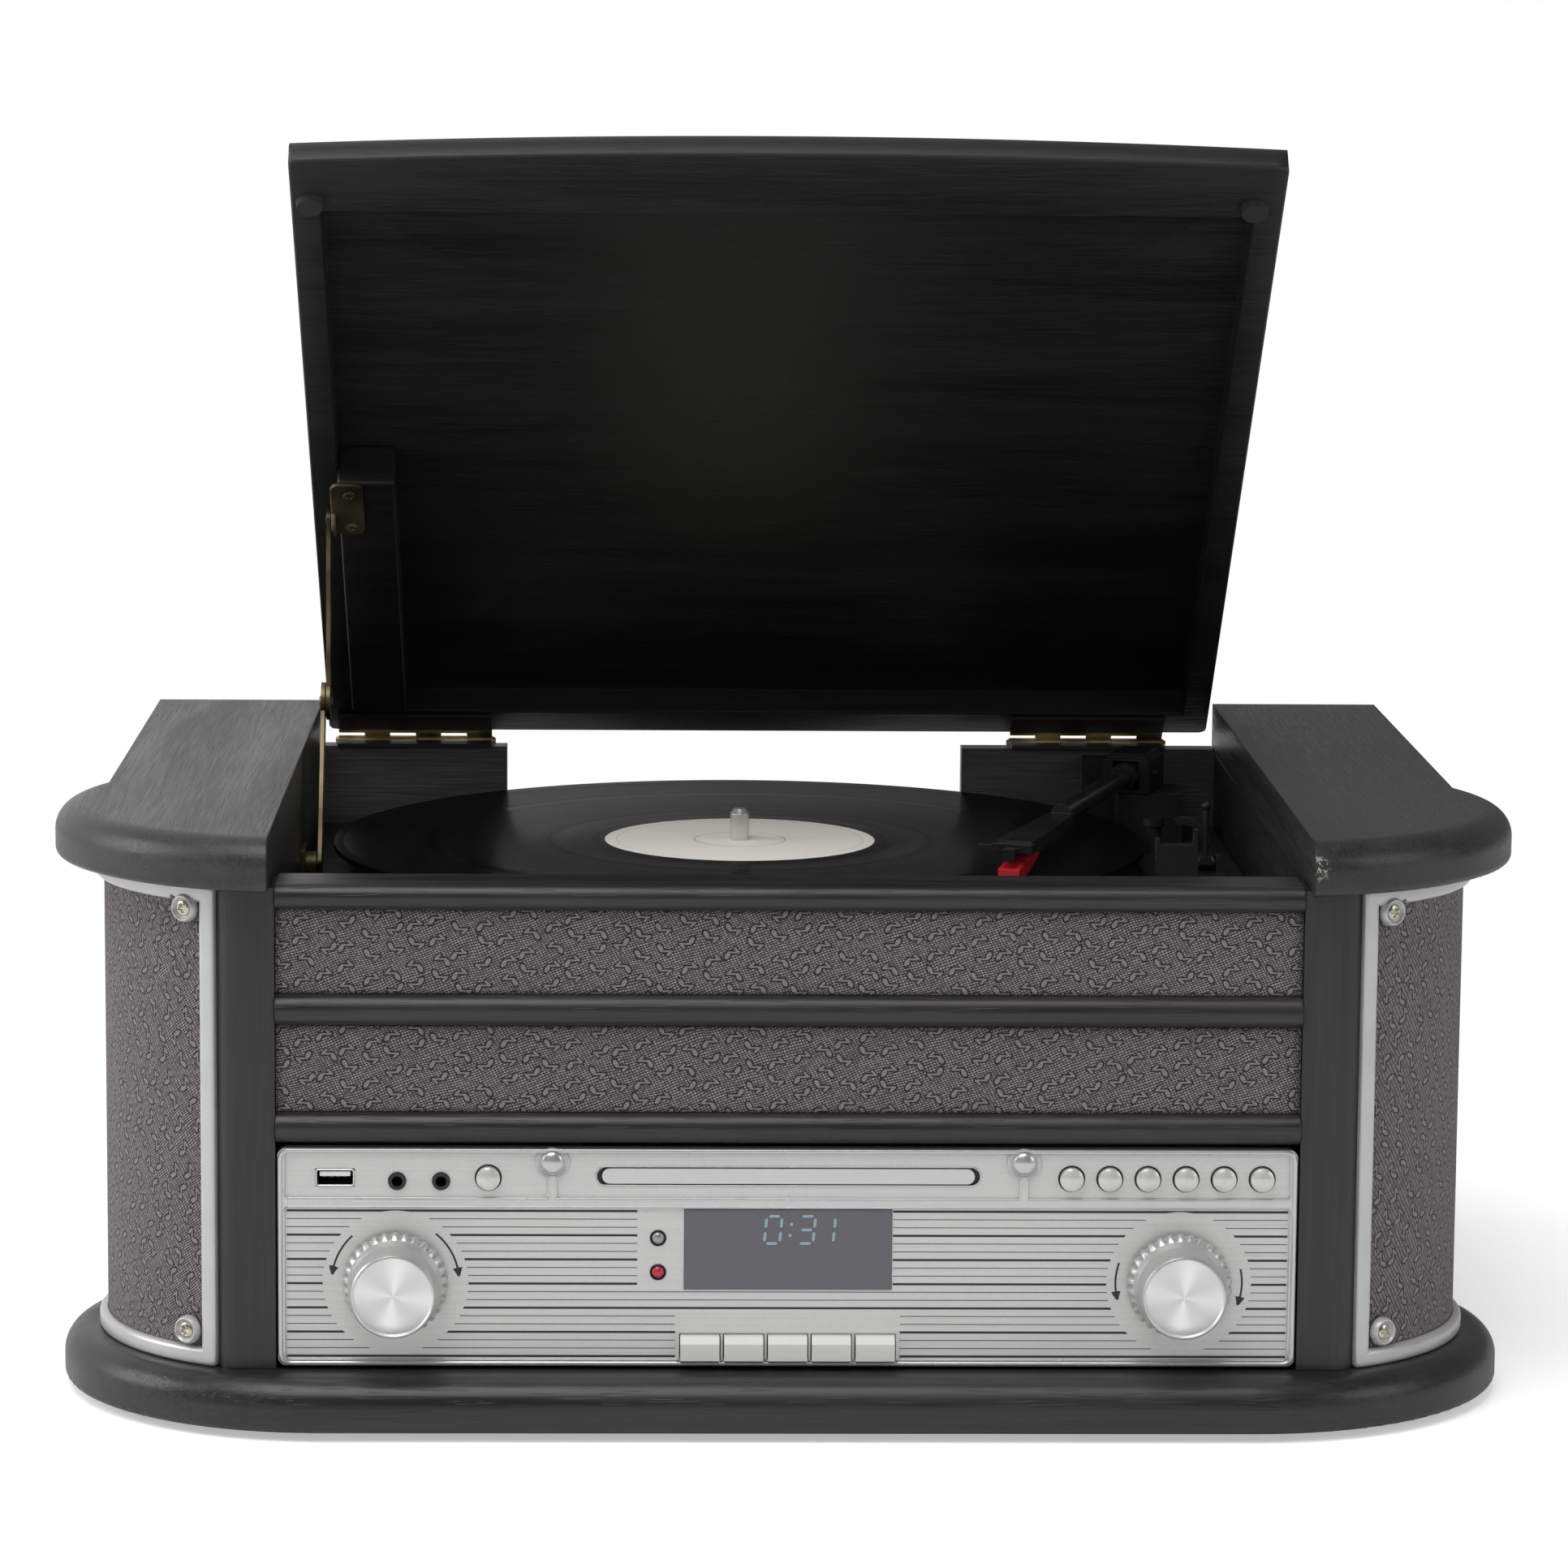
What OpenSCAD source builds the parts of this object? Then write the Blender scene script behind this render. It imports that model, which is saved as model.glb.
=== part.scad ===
// Retro table-top music centre: a black wooden cabinet with curved speaker corners, a silver radio
// and disc fascia, and a record player under a hinged lid. The lid is drawn open, as it stands at rest.
// All sizes are millimetres. In the modules the origin is the fascia's front face, on the centre plane,
// at the underside of the plinth; in_place() then moves it to the middle of the footprint on the table.

/* [Plinth and shoulders] */
// Thickness of the plinth board
plinth_t = 18; // [14:0.5:22]
// Depth from the fascia's front face to the back of the cabinet
cab_depth = 338; // [334:1:350]
// Width of the straight rear part outside the record well's walls
rear_out = 63.7; // [60:0.1:69]
// Distance of the round corners' centres inside the record well's walls
corner_in = 16.5; // [13:0.1:19]
// Distance of the round corners' centres behind the fascia
corner_y = 74; // [70:0.5:78]
// Radius of the plinth's round front corners
plinth_r = 93.1; // [91:0.1:97]
// Distance of the shoulder boards' round corner centres inside the record well's walls
shoulder_in = 18.8; // [16:0.1:20]
// Centre of the shoulder boards' round corner behind the fascia
shoulder_y = 81.8; // [78:0.1:84]
// Radius of the shoulder boards' round corner
shoulder_r = 97.6; // [94:0.1:99]
// Thickness of the shoulder boards
shoulder_t = 18; // [14:0.5:20]
// Radius of the boards' upper edges
edge_up = 9.4; // [6:0.1:12]
// Radius of the boards' lower edges
edge_low = 2.8; // [1:0.1:5]
// Height of the rubber feet
foot_h = 3; // [2:0.5:8]
// Radius of the rubber feet
foot_r = 11; // [8:0.5:14]
// Distance of the feet in from the board's edges
foot_inset = 34; // [26:1:44]

/* [Walls] */
// Height of the walls between plinth and shoulder boards
wall_h = 165.2; // [160:0.2:175]
// Half width of the turntable well
well_half = 174.7; // [173.8:0.1:178]
// Thickness of the well's inner walls
well_wall_t = 12; // [8:0.5:14]
// Thickness of the outer side walls
side_wall_t = 12; // [9:0.5:14]
// Distance of the side walls' outer faces in from the boards' edges
side_inset = 11.4; // [9:0.2:14]
// Distance of the side walls' front ends behind the fascia
side_start = 108; // [104:0.5:112]
// Size of the strips that carry the turntable deck
ledger = 8; // [6:0.5:10]
// Thickness of the rear panel
rear_t = 10; // [9:0.5:12]
// Height of the hinge posts above the walls' top edge
post_rise = 1.3; // [0.8:0.1:3]
// Left edge of the record's notch in the rear panel
notch_left = -102.5; // [-108:0.5:-103]
// Right edge of the record's notch
notch_right = 75.5; // [75:0.5:84]
// Depth of the notch below the hinge posts' tops
notch_drop = 26.5; // [24:0.5:30]
// Radius of the notch's lower corners
notch_r = 4; // [2:0.5:8]

/* [Front] */
// Width of each front pillar
pillar_w = 20.4; // [18:0.2:24]
// Depth of each front pillar
pillar_d = 24; // [20:1:30]
// How far the pillars stand in front of the fascia
pillar_proud = 1; // [0:0.5:3]
// Radius of the pillars' outer front edges
pillar_r = 8; // [3:0.5:9]
// Distance that the pillars reach inside the record well's walls
front_in = 1.7; // [1.3:0.1:1.9]
// Distance of the front board behind the fascia's front face
board_y = 6; // [6:0.5:9]
// Thickness of the front board
board_t = 16; // [12:0.5:18]
// How far the rails stand in front of the fascia
rail_proud = 3; // [1:0.5:5]
// Height of the top rail
rail_top_h = 8.8; // [7:0.2:11]
// Height of the middle rail
rail_mid_h = 10.9; // [8:0.1:13]
// Height of the low rail
rail_low_h = 10.6; // [8:0.1:13]
// Height of the upper cloth strip
cloth_up_h = 28.7; // [24:0.2:32]
// Height of the lower cloth strip
cloth_low_h = 29.5; // [24:0.1:32]
// Distance of the cloth strips behind the fascia's front face
cloth_y = 1.5; // [0:0.5:3]

/* [Speakers] */
// Radius of the silver frames, from the round corner's centre
frame_r = 80.2; // [78:0.5:83]
// Thickness of the silver frames
frame_t = 2.1; // [1.5:0.1:3]
// Width of the frames' upright bars
frame_bar = 6; // [4:0.5:9]
// Height of the frames' top and bottom rims
frame_rim = 6; // [4:0.5:9]
// Radius of the frames' screw bosses
boss_r = 7; // [5:0.5:9]
// Thickness of the speaker cloth with its stiff mesh
grille_t = 1.7; // [1:0.1:2.5]
// Thickness of the curved speaker boards
baffle_t = 8; // [6:0.5:12]
// Radius of the loudspeaker's opening
driver_r = 26; // [24:1:28]
// Radius of the screw heads
screw_r = 3; // [2:0.2:4]

/* [Fascia] */
// Gap between the fascia and each pillar
fascia_gap = 0.6; // [0.4:0.1:1.2]
// Height of the fascia
fascia_h = 75.1; // [74:0.1:76.4]
// Height of the fascia's lower edge above the plinth
fascia_lift = 1.2; // [0.4:0.2:2]
// Thickness of the fascia
fascia_t = 5; // [4:0.5:6]
// Depth of the fascia's recessed fields
field_d = 0.8; // [0.4:0.1:1.2]
// Width of the fascia's raised rim
rim_w = 2.2; // [1.5:0.1:3]
// Height of the lower, striped field
field_h = 52.9; // [50:0.1:54]
// Height of the upper field with sockets, tray and round buttons
strip_h = 16.2; // [14:0.1:17]
// Radius of the fascia's corners
fascia_r = 3; // [1:0.5:5]
// Width of the display window
display_w = 70.3; // [60:0.1:76]
// Height of the display window
display_h = 27.7; // [22:0.1:30]
// Height of the display window's centre above the fascia's lower edge
display_z = 40.3; // [38:0.1:41]
// Radius of the round sensor and power lenses
lens_r = 2.2; // [1.5:0.1:3]
// Distance of the lenses from the centre plane
lens_x = 44; // [42:0.2:48]
// Height of the power lens above the fascia's lower edge
lens_z = 32.4; // [28:0.2:36]
// Height between the two lenses
lens_pitch = 11.8; // [8:0.2:14]

/* [Disc tray] */
// Width of the tray's front
tray_w = 126; // [124:0.5:132]
// Height of the tray's front
tray_h = 5.2; // [4:0.1:5.6]
// Height of the tray above the fascia's lower edge
tray_z = 65.6; // [65:0.1:66.5]
// Depth of the tray
tray_d = 158; // [150:1:165]
// How far the tray slides out
tray_travel = 128; // [110:1:130]
// Radius of the disc's recess in the tray
disc_r = 60.5; // [60:0.1:61]
// Depth of the disc's recess
disc_d = 1.8; // [1.2:0.1:2.2]
// Gap between the tray's front and its slot
tray_gap = 0.7; // [0.5:0.1:1.2]

/* [Knobs and buttons] */
// Distance of the knobs from the centre plane
knob_x = 132.7; // [130:0.1:136]
// Height of the knobs above the fascia's lower edge
knob_z = 28.9; // [28:0.1:32]
// How far the knobs stand out
knob_l = 22; // [20:0.5:28]
// Radius of the knobs' fluted skirts
skirt_r = 17.8; // [16:0.1:19]
// Thickness of the skirts
skirt_t = 4.5; // [3:0.5:6]
// Radius of the knobs' caps
cap_r = 14.5; // [12:0.1:15.5]
// Number of flutes round a skirt
flutes = 30; // [24:1:36]
// Radius of the knob shafts
shaft_r = 3; // [2.5:0.1:4]
// Height of the round buttons above the fascia's lower edge
round_z = 64.9; // [64:0.1:66]
// Radius of the round buttons
round_r = 4; // [3:0.1:4.6]
// How far the round buttons stand out
round_out = 2.6; // [2:0.1:4]
// Place of the function button from the centre plane
function_x = -101.4; // [-106:0.1:-96]
// Place of the first of the six disc buttons
disc_x = 95.8; // [94:0.1:97]
// Distance between the disc buttons
disc_pitch = 12.92; // [11:0.01:13.4]
// Width of the rectangular keys
key_w = 13.3; // [11:0.1:14]
// Height of the rectangular keys
key_h = 8.2; // [6:0.1:9]
// Distance between the rectangular keys
key_pitch = 14.86; // [14.6:0.01:16]
// Height of the keys' centres above the fascia's lower edge
key_z = 6.7; // [6.4:0.1:8]
// How far the keys stand out
key_out = 4; // [3:0.1:5]
// How far a button or key travels
press = 1; // [0.6:0.1:1.1]
// Clearance round each button and key
button_gap = 0.3; // [0.15:0.01:0.4]

/* [Sockets] */
// Place of the memory-stick socket from the centre plane
usb_x = -153; // [-156:0.1:-148]
// Width of the memory-stick socket
usb_w = 13.2; // [12.4:0.1:15]
// Height of the memory-stick socket
usb_h = 6; // [5.6:0.1:7.5]
// Places of the two jack sockets from the centre plane
jack_x = -132.1; // [-136:0.1:-128]
// Distance between the jack sockets
jack_pitch = 14.8; // [12:0.1:18]
// Radius of a jack socket's bore
jack_r = 1.8; // [1.6:0.05:2]
// Outer radius of a jack socket's ring
jack_ring = 3; // [2.6:0.1:4]
// Radius of the two ornament studs
stud_r = 4.1; // [3:0.1:5]
// Distance of the studs from the centre plane
stud_x = 79.7; // [76:0.1:84]

/* [Record player] */
// Place of the spindle from the centre plane
spin_x = -13.5; // [-15:0.5:-11]
// Distance of the spindle in front of the cabinet's back
spin_back = 132; // [131:0.5:134]
// Radius of the record
record_r = 150; // [148:0.1:150.5]
// Thickness of the record
record_t = 2; // [1.5:0.1:3]
// Height of the deck above the plinth
deck_h = 136; // [130:1:139]
// Thickness of the deck
deck_t = 3; // [2:0.5:5]
// Gap between deck and platter
platter_lift = 3; // [2:0.5:4]
// Height of the platter with its mat
platter_h = 8.5; // [8:0.1:9]
// Radius of the platter
platter_r = 98; // [90:1:110]
// Radius of the spindle
spindle_r = 3.55; // [3:0.05:4]
// Height of the spindle above the record
spindle_h = 11.7; // [9:0.1:14]
// Radius of the motor's pulley
pulley_r = 5.7; // [4:0.5:8]
// Distance of the motor from the spindle
motor_out = 51; // [46:0.5:60]

/* [Tonearm] */
// Distance of the arm's pivot from the record well's wall
arm_side = 35.2; // [33:0.1:38]
// Distance of the arm's pivot in front of the cabinet's back
arm_back = 42.5; // [40:0.5:45]
// Height of the arm's tube above the record
arm_over = 12.7; // [12:0.1:14]
// Radius of the arm's tube
tube_r = 3.8; // [3.4:0.1:4.4]
// Distance from the pivot to the stylus
arm_l = 188.7; // [182:0.1:192]
// Angle of the arm from straight ahead, towards the spindle
arm_turn = 18; // [17:0.5:19]
// Angle of the headshell from the arm
shell_turn = 4; // [0:1:12]
// Angle of the parked arm from straight ahead, away from the spindle
park_turn = 2.2; // [1:0.1:3]
// Distance from the pivot to the arm's rest
rest_l = 134.5; // [130:1:145]
// Gap between the stylus and the record
stylus_gap = 0.3; // [0.3:0.05:0.5]

/* [Lid] */
// Angle at which the lid stands open
lid_open = 42.4; // [40:0.1:44]
// Gap between the lid's sides and the walls of the record well
lid_side_gap = 2.3; // [1.5:0.1:3]
// Distance that the closed lid stands out in front of the fascia
lid_over = 13; // [8:0.1:16]
// Thickness of the lid at its rim
lid_t = 14.5; // [12:0.1:16]
// Radius of the lid's upper front edge
lid_nose = 12; // [4:0.1:13.5]
// Depth of the recess in the lid's underside
lid_recess = 11; // [8:0.1:11.5]
// Width of the lid's side rims
rim_side = 10; // [8:0.2:14]
// Width of the lid's rear rim
rim_rear = 13.2; // [11:0.2:16]
// Width of the lid's front rim
rim_front = 32.5; // [28:0.5:36]
// Gap between the closed lid and the hinge posts
lid_gap = 3.2; // [3:0.1:4]
// Distance of the hinge axis behind the cabinet
hinge_back = 2.2; // [2.2:0.1:3]
// Radius of the hinge knuckles
knuckle_r = 1.9; // [1.6:0.05:2]
// Length of each hinge knuckle
knuckle_l = 10; // [8:0.5:10]
// Thickness of the hinge leaves
leaf_t = 1.2; // [1:0.1:1.4]
// Radius of the hinge pins
pin_r = 0.9; // [0.7:0.05:1.1]
// Radius of the lid's bumpers
bumper_r = 5; // [4:0.1:5]
// Distance of the left bumper from the lid's side
bumper_left = 6.6; // [5.5:0.1:12]
// Distance of the right bumper from the lid's side
bumper_right = 10.4; // [5.5:0.1:12]

/* [Lid stay] */
// Distance from the hinge axis to the stay's upper pivot
stay_u = 150; // [147:0.5:152]
// Drop of the stay's upper pivot below the hinge axis on the closed lid
stay_w = 4; // [3:0.1:4.5]
// Distance of the stay's lower pivot in front of the cabinet's back
stay_back = 146; // [144:0.5:148]
// Height of the stay's lower pivot above the deck
stay_z = 6; // [5:0.5:7]
// Length of the upper link between its pivots
link_up = 67; // [66:0.5:69]
// Length of the lower link between its pivots
link_low = 63.5; // [62.5:0.5:65.5]
// Width of the links
link_w = 9; // [6:0.5:9]
// Thickness of the links
link_t = 1.5; // [1:0.1:1.6]
// Radius of the friction washers at the middle knuckle
washer_r = 7; // [5:0.5:7]
// Running clearance between a pin and its hole
run_gap = 0.05; // [0.02:0.01:0.08]

/* [Hidden] */
$fn = 64;

eps = 0.01;
fit_gap = 0.3;                              // between pieces of different bodies
seat_gap = 0.1;                             // between a piece and the fixed piece that carries it
wall_z = plinth_t + wall_h;                 // top edge of the walls
top_z = wall_z + shoulder_t;                // top face of the shoulder boards
post_z = wall_z + post_rise;                // top of the hinge posts and of the front board
fascia_z = plinth_t + fascia_lift;          // lower edge of the fascia
deck_z = plinth_t + deck_h;
platter_z = deck_z + platter_lift;
record_z = platter_z + platter_h;
groove_z = record_z + record_t;             // top face of the record
tube_z = groove_z + arm_over;
rear_half = well_half + rear_out;           // outer half width of the straight rear part
corner_x = well_half - corner_in;           // centres of the round corners
shoulder_x = well_half - shoulder_in;       // centres of the shoulder boards' round corners
front_half = well_half - front_in;          // half width of the opening between the pillars
fascia_half = front_half - fascia_gap;
arm_x = well_half - arm_side;
side_x = rear_half - side_inset;            // outer face of the side walls
pillar_x = front_half + pillar_w;
axis_y = cab_depth + hinge_back;
axis_z = post_z + leaf_t / 2;
lid_w = lid_gap - leaf_t / 2;               // lid's underside above the hinge axis
lid_u = 3.3;                                // lid's rear edge in front of the hinge axis
lid_half = well_half - lid_side_gap;
lid_l = axis_y - lid_u + lid_over;
spin_y = cab_depth - spin_back;
arm_y = cab_depth - arm_back;
stay_y = cab_depth - stay_back;
front_y = -knob_l;
back_y = spin_y + record_r;
mid_y = (front_y + back_y) / 2;
inner_fit = well_half - fit_gap;
grille_r = frame_r - frame_t - 0.2;
baffle_r = grille_r - grille_t - 0.2;

// Angles of the speaker section round the corner's centre, from behind the pillar's edge to the side wall
function edge_angle(r) = -acos((pillar_x - 2 - corner_x) / r);
function wall_angle(r) = asin((side_start - seat_gap - corner_y) / r);

module in_place() {
  translate([0, -mid_y, foot_h]) children();
}

module mirrored() {
  children();
  mirror([1, 0, 0]) children();
}

// Strip seen end on: its right end is a full-round nose
module nose_profile(reach, t) {
  square([reach - t / 2, t]);
  translate([reach - t / 2, t / 2]) intersection() {
    circle(d = t);
    translate([-eps, -t / 2]) square([t, t]);
  }
}

// Board seen end on: its right end is rounded widely above and a little below
module edge_profile(reach, t) {
  square([reach - edge_up, t]);
  translate([0, edge_low]) square([reach, t - edge_up - edge_low]);
  square([reach - edge_low, edge_low + eps]);
  translate([reach - edge_up, t - edge_up]) intersection() {
    circle(edge_up, $fn = 96);
    translate([-eps, -eps]) square(edge_up + 1);
  }
  translate([reach - edge_low, edge_low]) circle(edge_low, $fn = 48);
}

// Part of a disc-shaped board with that edge
module edge_sector(r, t, from, to) {
  rotate([0, 0, from]) rotate_extrude(angle = to - from, $fn = 160) edge_profile(r, t);
}

// Upright shell round the speaker corner's centre
module corner_shell(r, t, from, to, h) difference() {
  translate([corner_x, corner_y, 0]) rotate([0, 0, from])
    rotate_extrude(angle = to - from, $fn = 160) translate([r - t, 0]) square([t, h]);
  translate([corner_x, -corner_y, -1]) cube([pillar_x + seat_gap - corner_x, 2 * corner_y, h + 2]);
}

// Straight length between two x places of the profile that is given, which ends at the front
module run(x0, x1, back) {
  translate([x0, back, 0]) rotate([90, 0, 90]) linear_extrude(x1 - x0) mirror([1, 0]) children();
}

module base_board() color([0.09, 0.09, 0.1]) in_place() {
  front = corner_y - plinth_r;
  run(-corner_x, corner_x, cab_depth) edge_profile(cab_depth - front, plinth_t);
  mirrored() {
    translate([corner_x, corner_y, 0]) edge_sector(plinth_r, plinth_t, -90, 45);
    translate([corner_x, corner_y, 0]) cube([rear_half - corner_x, cab_depth - corner_y, plinth_t]);
  }
}

module feet() color([0.05, 0.05, 0.05]) in_place() {
  for (x = [-1, 1], y = [foot_inset, cab_depth - foot_inset])
    translate([x * (rear_half - foot_inset), y, -foot_h]) cylinder(r = foot_r, h = foot_h, $fn = 48);
}

module shoulder() in_place() translate([0, 0, wall_z]) difference() {
  union() {
    translate([shoulder_x, shoulder_y, 0]) edge_sector(shoulder_r, shoulder_t, -90, 45);
    translate([shoulder_x, shoulder_y, 0])
      cube([rear_half - shoulder_x, cab_depth - shoulder_y, shoulder_t]);
  }
  translate([shoulder_x - 1, shoulder_y - 2 * shoulder_r, -1])
    cube([well_half - shoulder_x + 1, 2 * shoulder_r + cab_depth, shoulder_t + 2]);
}

module top_board_right() color([0.11, 0.1, 0.11]) shoulder();

module top_board_left() color([0.11, 0.1, 0.11]) mirror([1, 0, 0]) shoulder();

module rear_panel() color([0.08, 0.08, 0.08]) in_place() difference() {
  union() {
    translate([-side_x, cab_depth - rear_t, plinth_t]) cube([2 * side_x, rear_t, wall_h]);
    translate([-inner_fit, cab_depth - rear_t, wall_z - 1]) cube([2 * inner_fit, rear_t, post_rise + 1]);
  }
  translate([0, cab_depth + 1, 0]) rotate([90, 0, 0]) linear_extrude(rear_t + 2) {
    translate([notch_left, post_z - notch_drop + notch_r])
      square([notch_right - notch_left, notch_drop]);
    translate([notch_left + notch_r, post_z - notch_drop])
      square([notch_right - notch_left - 2 * notch_r, notch_r + 1]);
    for (x = [notch_left + notch_r, notch_right - notch_r])
      translate([x, post_z - notch_drop + notch_r]) circle(notch_r);
  }
  translate([socket_x, 0, socket_z]) rotate([90, 0, 0])
    translate([-socket_w / 2 - 0.1, -socket_h / 2 - 0.1, -cab_depth - 1])
      cube([socket_w + 0.2, socket_h + 0.2, rear_t + 2]);
  translate([inlet_x - inlet_w / 2 - 0.1, cab_depth - rear_t - 1, socket_z - inlet_h / 2 - 0.1])
    cube([inlet_w + 0.2, rear_t + 2, inlet_h + 0.2]);
}

module side_walls() color([0.09, 0.09, 0.1]) in_place() mirrored() {
  translate([side_x - side_wall_t, side_start, plinth_t])
    cube([side_wall_t, cab_depth - rear_t - side_start, wall_h]);
}

// Inner walls with the strips that carry the deck
module well_walls() color([0.07, 0.07, 0.07]) in_place() mirrored() {
  wall_l = cab_depth - rear_t - pillar_d;
  translate([well_half, pillar_d, plinth_t]) cube([well_wall_t, wall_l, wall_h]);
  translate([well_half - ledger, pillar_d, deck_z - deck_t - ledger])
    cube([ledger + eps, wall_l, ledger]);
}

module pillars() color([0.09, 0.09, 0.1]) in_place() mirrored() {
  translate([front_half, -pillar_proud, plinth_t]) linear_extrude(wall_h) {
    translate([0, pillar_r]) square([pillar_w, pillar_d + pillar_proud - pillar_r]);
    square([pillar_w - pillar_r, pillar_r + eps]);
    translate([pillar_w - pillar_r, pillar_r]) circle(pillar_r);
  }
}

// Heights of the rails and cloth strips, worked out downwards from the front board's top
rail_top_z = post_z - rail_top_h;
cloth_up_z = rail_top_z - cloth_up_h;
rail_mid_z = cloth_up_z - rail_mid_h;
cloth_low_z = rail_mid_z - cloth_low_h;
rail_low_z = cloth_low_z - rail_low_h;
rail_half = front_half - 0.2;

module front_board() color([0.07, 0.07, 0.07]) in_place() {
  translate([-rail_half, board_y, rail_low_z])
    cube([2 * rail_half, board_t, post_z - rail_low_z]);
}

module rail(z, h) {
  translate([0, 0, z]) run(-rail_half, rail_half, board_y) nose_profile(board_y + rail_proud, h);
}

module front_rails() color([0.1, 0.1, 0.11]) in_place() {
  rail(rail_top_z, rail_top_h);
  rail(rail_mid_z, rail_mid_h);
  rail(rail_low_z, rail_low_h);
}

module front_cloths() color([0.3, 0.28, 0.3]) in_place() {
  for (strip = [[cloth_up_z, cloth_up_h], [cloth_low_z, cloth_low_h]])
    translate([-rail_half, cloth_y, strip[0] + seat_gap])
      cube([2 * rail_half, board_y - cloth_y, strip[1] - 2 * seat_gap]);
}

driver_turn = -25;                          // direction in which the loudspeakers face
driver_rim = driver_r + 4;
driver_seat = 61.8;                         // distance of their flanges from the corner's centre

module driver_axis() {
  translate([corner_x, corner_y, plinth_t + wall_h / 2]) rotate([0, 0, driver_turn])
    rotate([0, 90, 0]) children();
}

module baffle() difference() {
  translate([0, 0, plinth_t])
    corner_shell(baffle_r, baffle_t, edge_angle(baffle_r), wall_angle(baffle_r), wall_h);
  driver_axis() cylinder(r = driver_r, h = frame_r);
  driver_axis() cylinder(r = driver_rim + fit_gap, h = driver_seat);
  screw_holes();
}

module speaker_baffles() color([0.35, 0.27, 0.2]) in_place() mirrored() baffle();

module speaker_cloths() color([0.3, 0.28, 0.3]) in_place() mirrored() difference() {
  translate([0, 0, plinth_t + 0.5])
    corner_shell(grille_r, grille_t, edge_angle(grille_r), wall_angle(grille_r), wall_h - 1);
  screw_holes();
}

// Unit that the round corner's frame is turned by to reach a length along its curve
function along(length) = length / frame_r * 180 / PI;
frame_from = -acos((pillar_x + seat_gap - corner_x) / frame_r);
frame_to = wall_angle(frame_r);
boss_turn = frame_from + along(frame_bar + 5.5);
boss_low = plinth_t + 11.7;
boss_high = wall_z - 8.2;

module boss_axis(z) {
  translate([corner_x, corner_y, z]) rotate([0, 0, boss_turn]) rotate([0, 90, 0]) children();
}

module screw_holes() {
  for (z = [boss_low, boss_high]) boss_axis(z)
    cylinder(r = screw_r * 0.5 + 0.1, h = frame_r + 10, $fn = 32);
}

module speaker_frame() in_place() difference() {
  union() {
    difference() {
      translate([0, 0, plinth_t]) corner_shell(frame_r, frame_t, edge_angle(frame_r), frame_to, wall_h);
      translate([0, 0, plinth_t + frame_rim])
        corner_shell(frame_r + 1, frame_t + 2, frame_from + along(frame_bar),
          frame_to - along(frame_bar), wall_h - 2 * frame_rim);
    }
    for (z = [boss_low, boss_high]) intersection() {
      translate([0, 0, plinth_t]) corner_shell(frame_r, frame_t, edge_angle(frame_r), frame_to, wall_h);
      boss_axis(z) cylinder(r = boss_r, h = frame_r + 10);
    }
  }
  screw_holes();
}

module speaker_frames() color([0.72, 0.72, 0.74]) mirrored() speaker_frame();

module frame_screw() difference() {
  union() {
    translate([0, 0, frame_r - 12]) cylinder(r = screw_r * 0.5, h = 13, $fn = 32);
    translate([0, 0, frame_r + 0.1]) cylinder(r1 = screw_r, r2 = screw_r * 0.7, h = 1.2, $fn = 32);
  }
  for (a = [0, 90]) rotate([0, 0, a])
    translate([-screw_r * 0.55, -0.35, frame_r + 0.7]) cube([screw_r * 1.1, 0.7, 2]);
}

module frame_screws() color([0.75, 0.73, 0.65]) in_place() mirrored()
  for (z = [boss_low, boss_high]) boss_axis(z) frame_screw();

module speaker_driver() driver_axis() translate([0, 0, driver_seat]) difference() {
  union() {
    translate([0, 0, -2.5]) cylinder(r = driver_rim, h = 2.5);
    translate([0, 0, -13]) cylinder(r1 = 12, r2 = driver_r - 2, h = 11);
    translate([0, 0, -20]) cylinder(r = 14, h = 7 + eps);
  }
  translate([0, 0, -11]) cylinder(r1 = 7, r2 = driver_r - 3, h = 12);
}

module speaker_drivers() color([0.15, 0.15, 0.16]) in_place() mirrored() speaker_driver();

// Fascia: rounded plate with two recessed fields
module plate(w, h, r) {
  translate([-w / 2, r]) square([w, h - 2 * r]);
  translate([-w / 2 + r, 0]) square([w - 2 * r, h]);
  for (x = [-1, 1], z = [r, h - r]) translate([x * (w / 2 - r), z]) circle(r, $fn = 32);
}

module upright(depth) {
  rotate([90, 0, 0]) translate([0, 0, -depth]) linear_extrude(depth) children();
}

field_half = fascia_half - rim_w;
board_front = 16;                           // front face of the circuit board behind the fascia
field_z = 2;                                // lower edge of the striped field above the fascia's edge
strip_z = fascia_h - strip_h - 1.1;
slot_r = tray_h / 2 + tray_gap;
stud_z = fascia_h - 4.7;
recess_w = tray_w + 4;
return_w = 4;                               // thickness of the fascia's rear webs
post_x = 150;                               // places of the posts that carry the circuit board
post_low = 8;
post_high = 50;
post_mid = 17;
post_r = 3;
rib_w = 0.7;                                // width of the ribs between the keys
rib_out = 1.4;                              // how far these ribs stand out
round_bore = round_r + button_gap;

function disc_button(i) = disc_x + i * disc_pitch;
function key_x(i) = (i - 2) * key_pitch;

module stadium(w, h) {
  square([w - h, h], center = true);
  for (x = [-1, 1]) translate([x * (w - h) / 2, 0]) circle(d = h, $fn = 48);
}

// The upper field is parted by two round collars and the short ribs below them
module strip_field() difference() {
  translate([0, strip_z]) plate(2 * field_half, strip_h, 1);
  for (x = [-stud_x, stud_x]) {
    translate([x, stud_z]) circle(stud_r + 1.3);
    translate([x - 1.2, strip_z - 1]) square([2.4, stud_z - strip_z]);
  }
}

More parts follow.
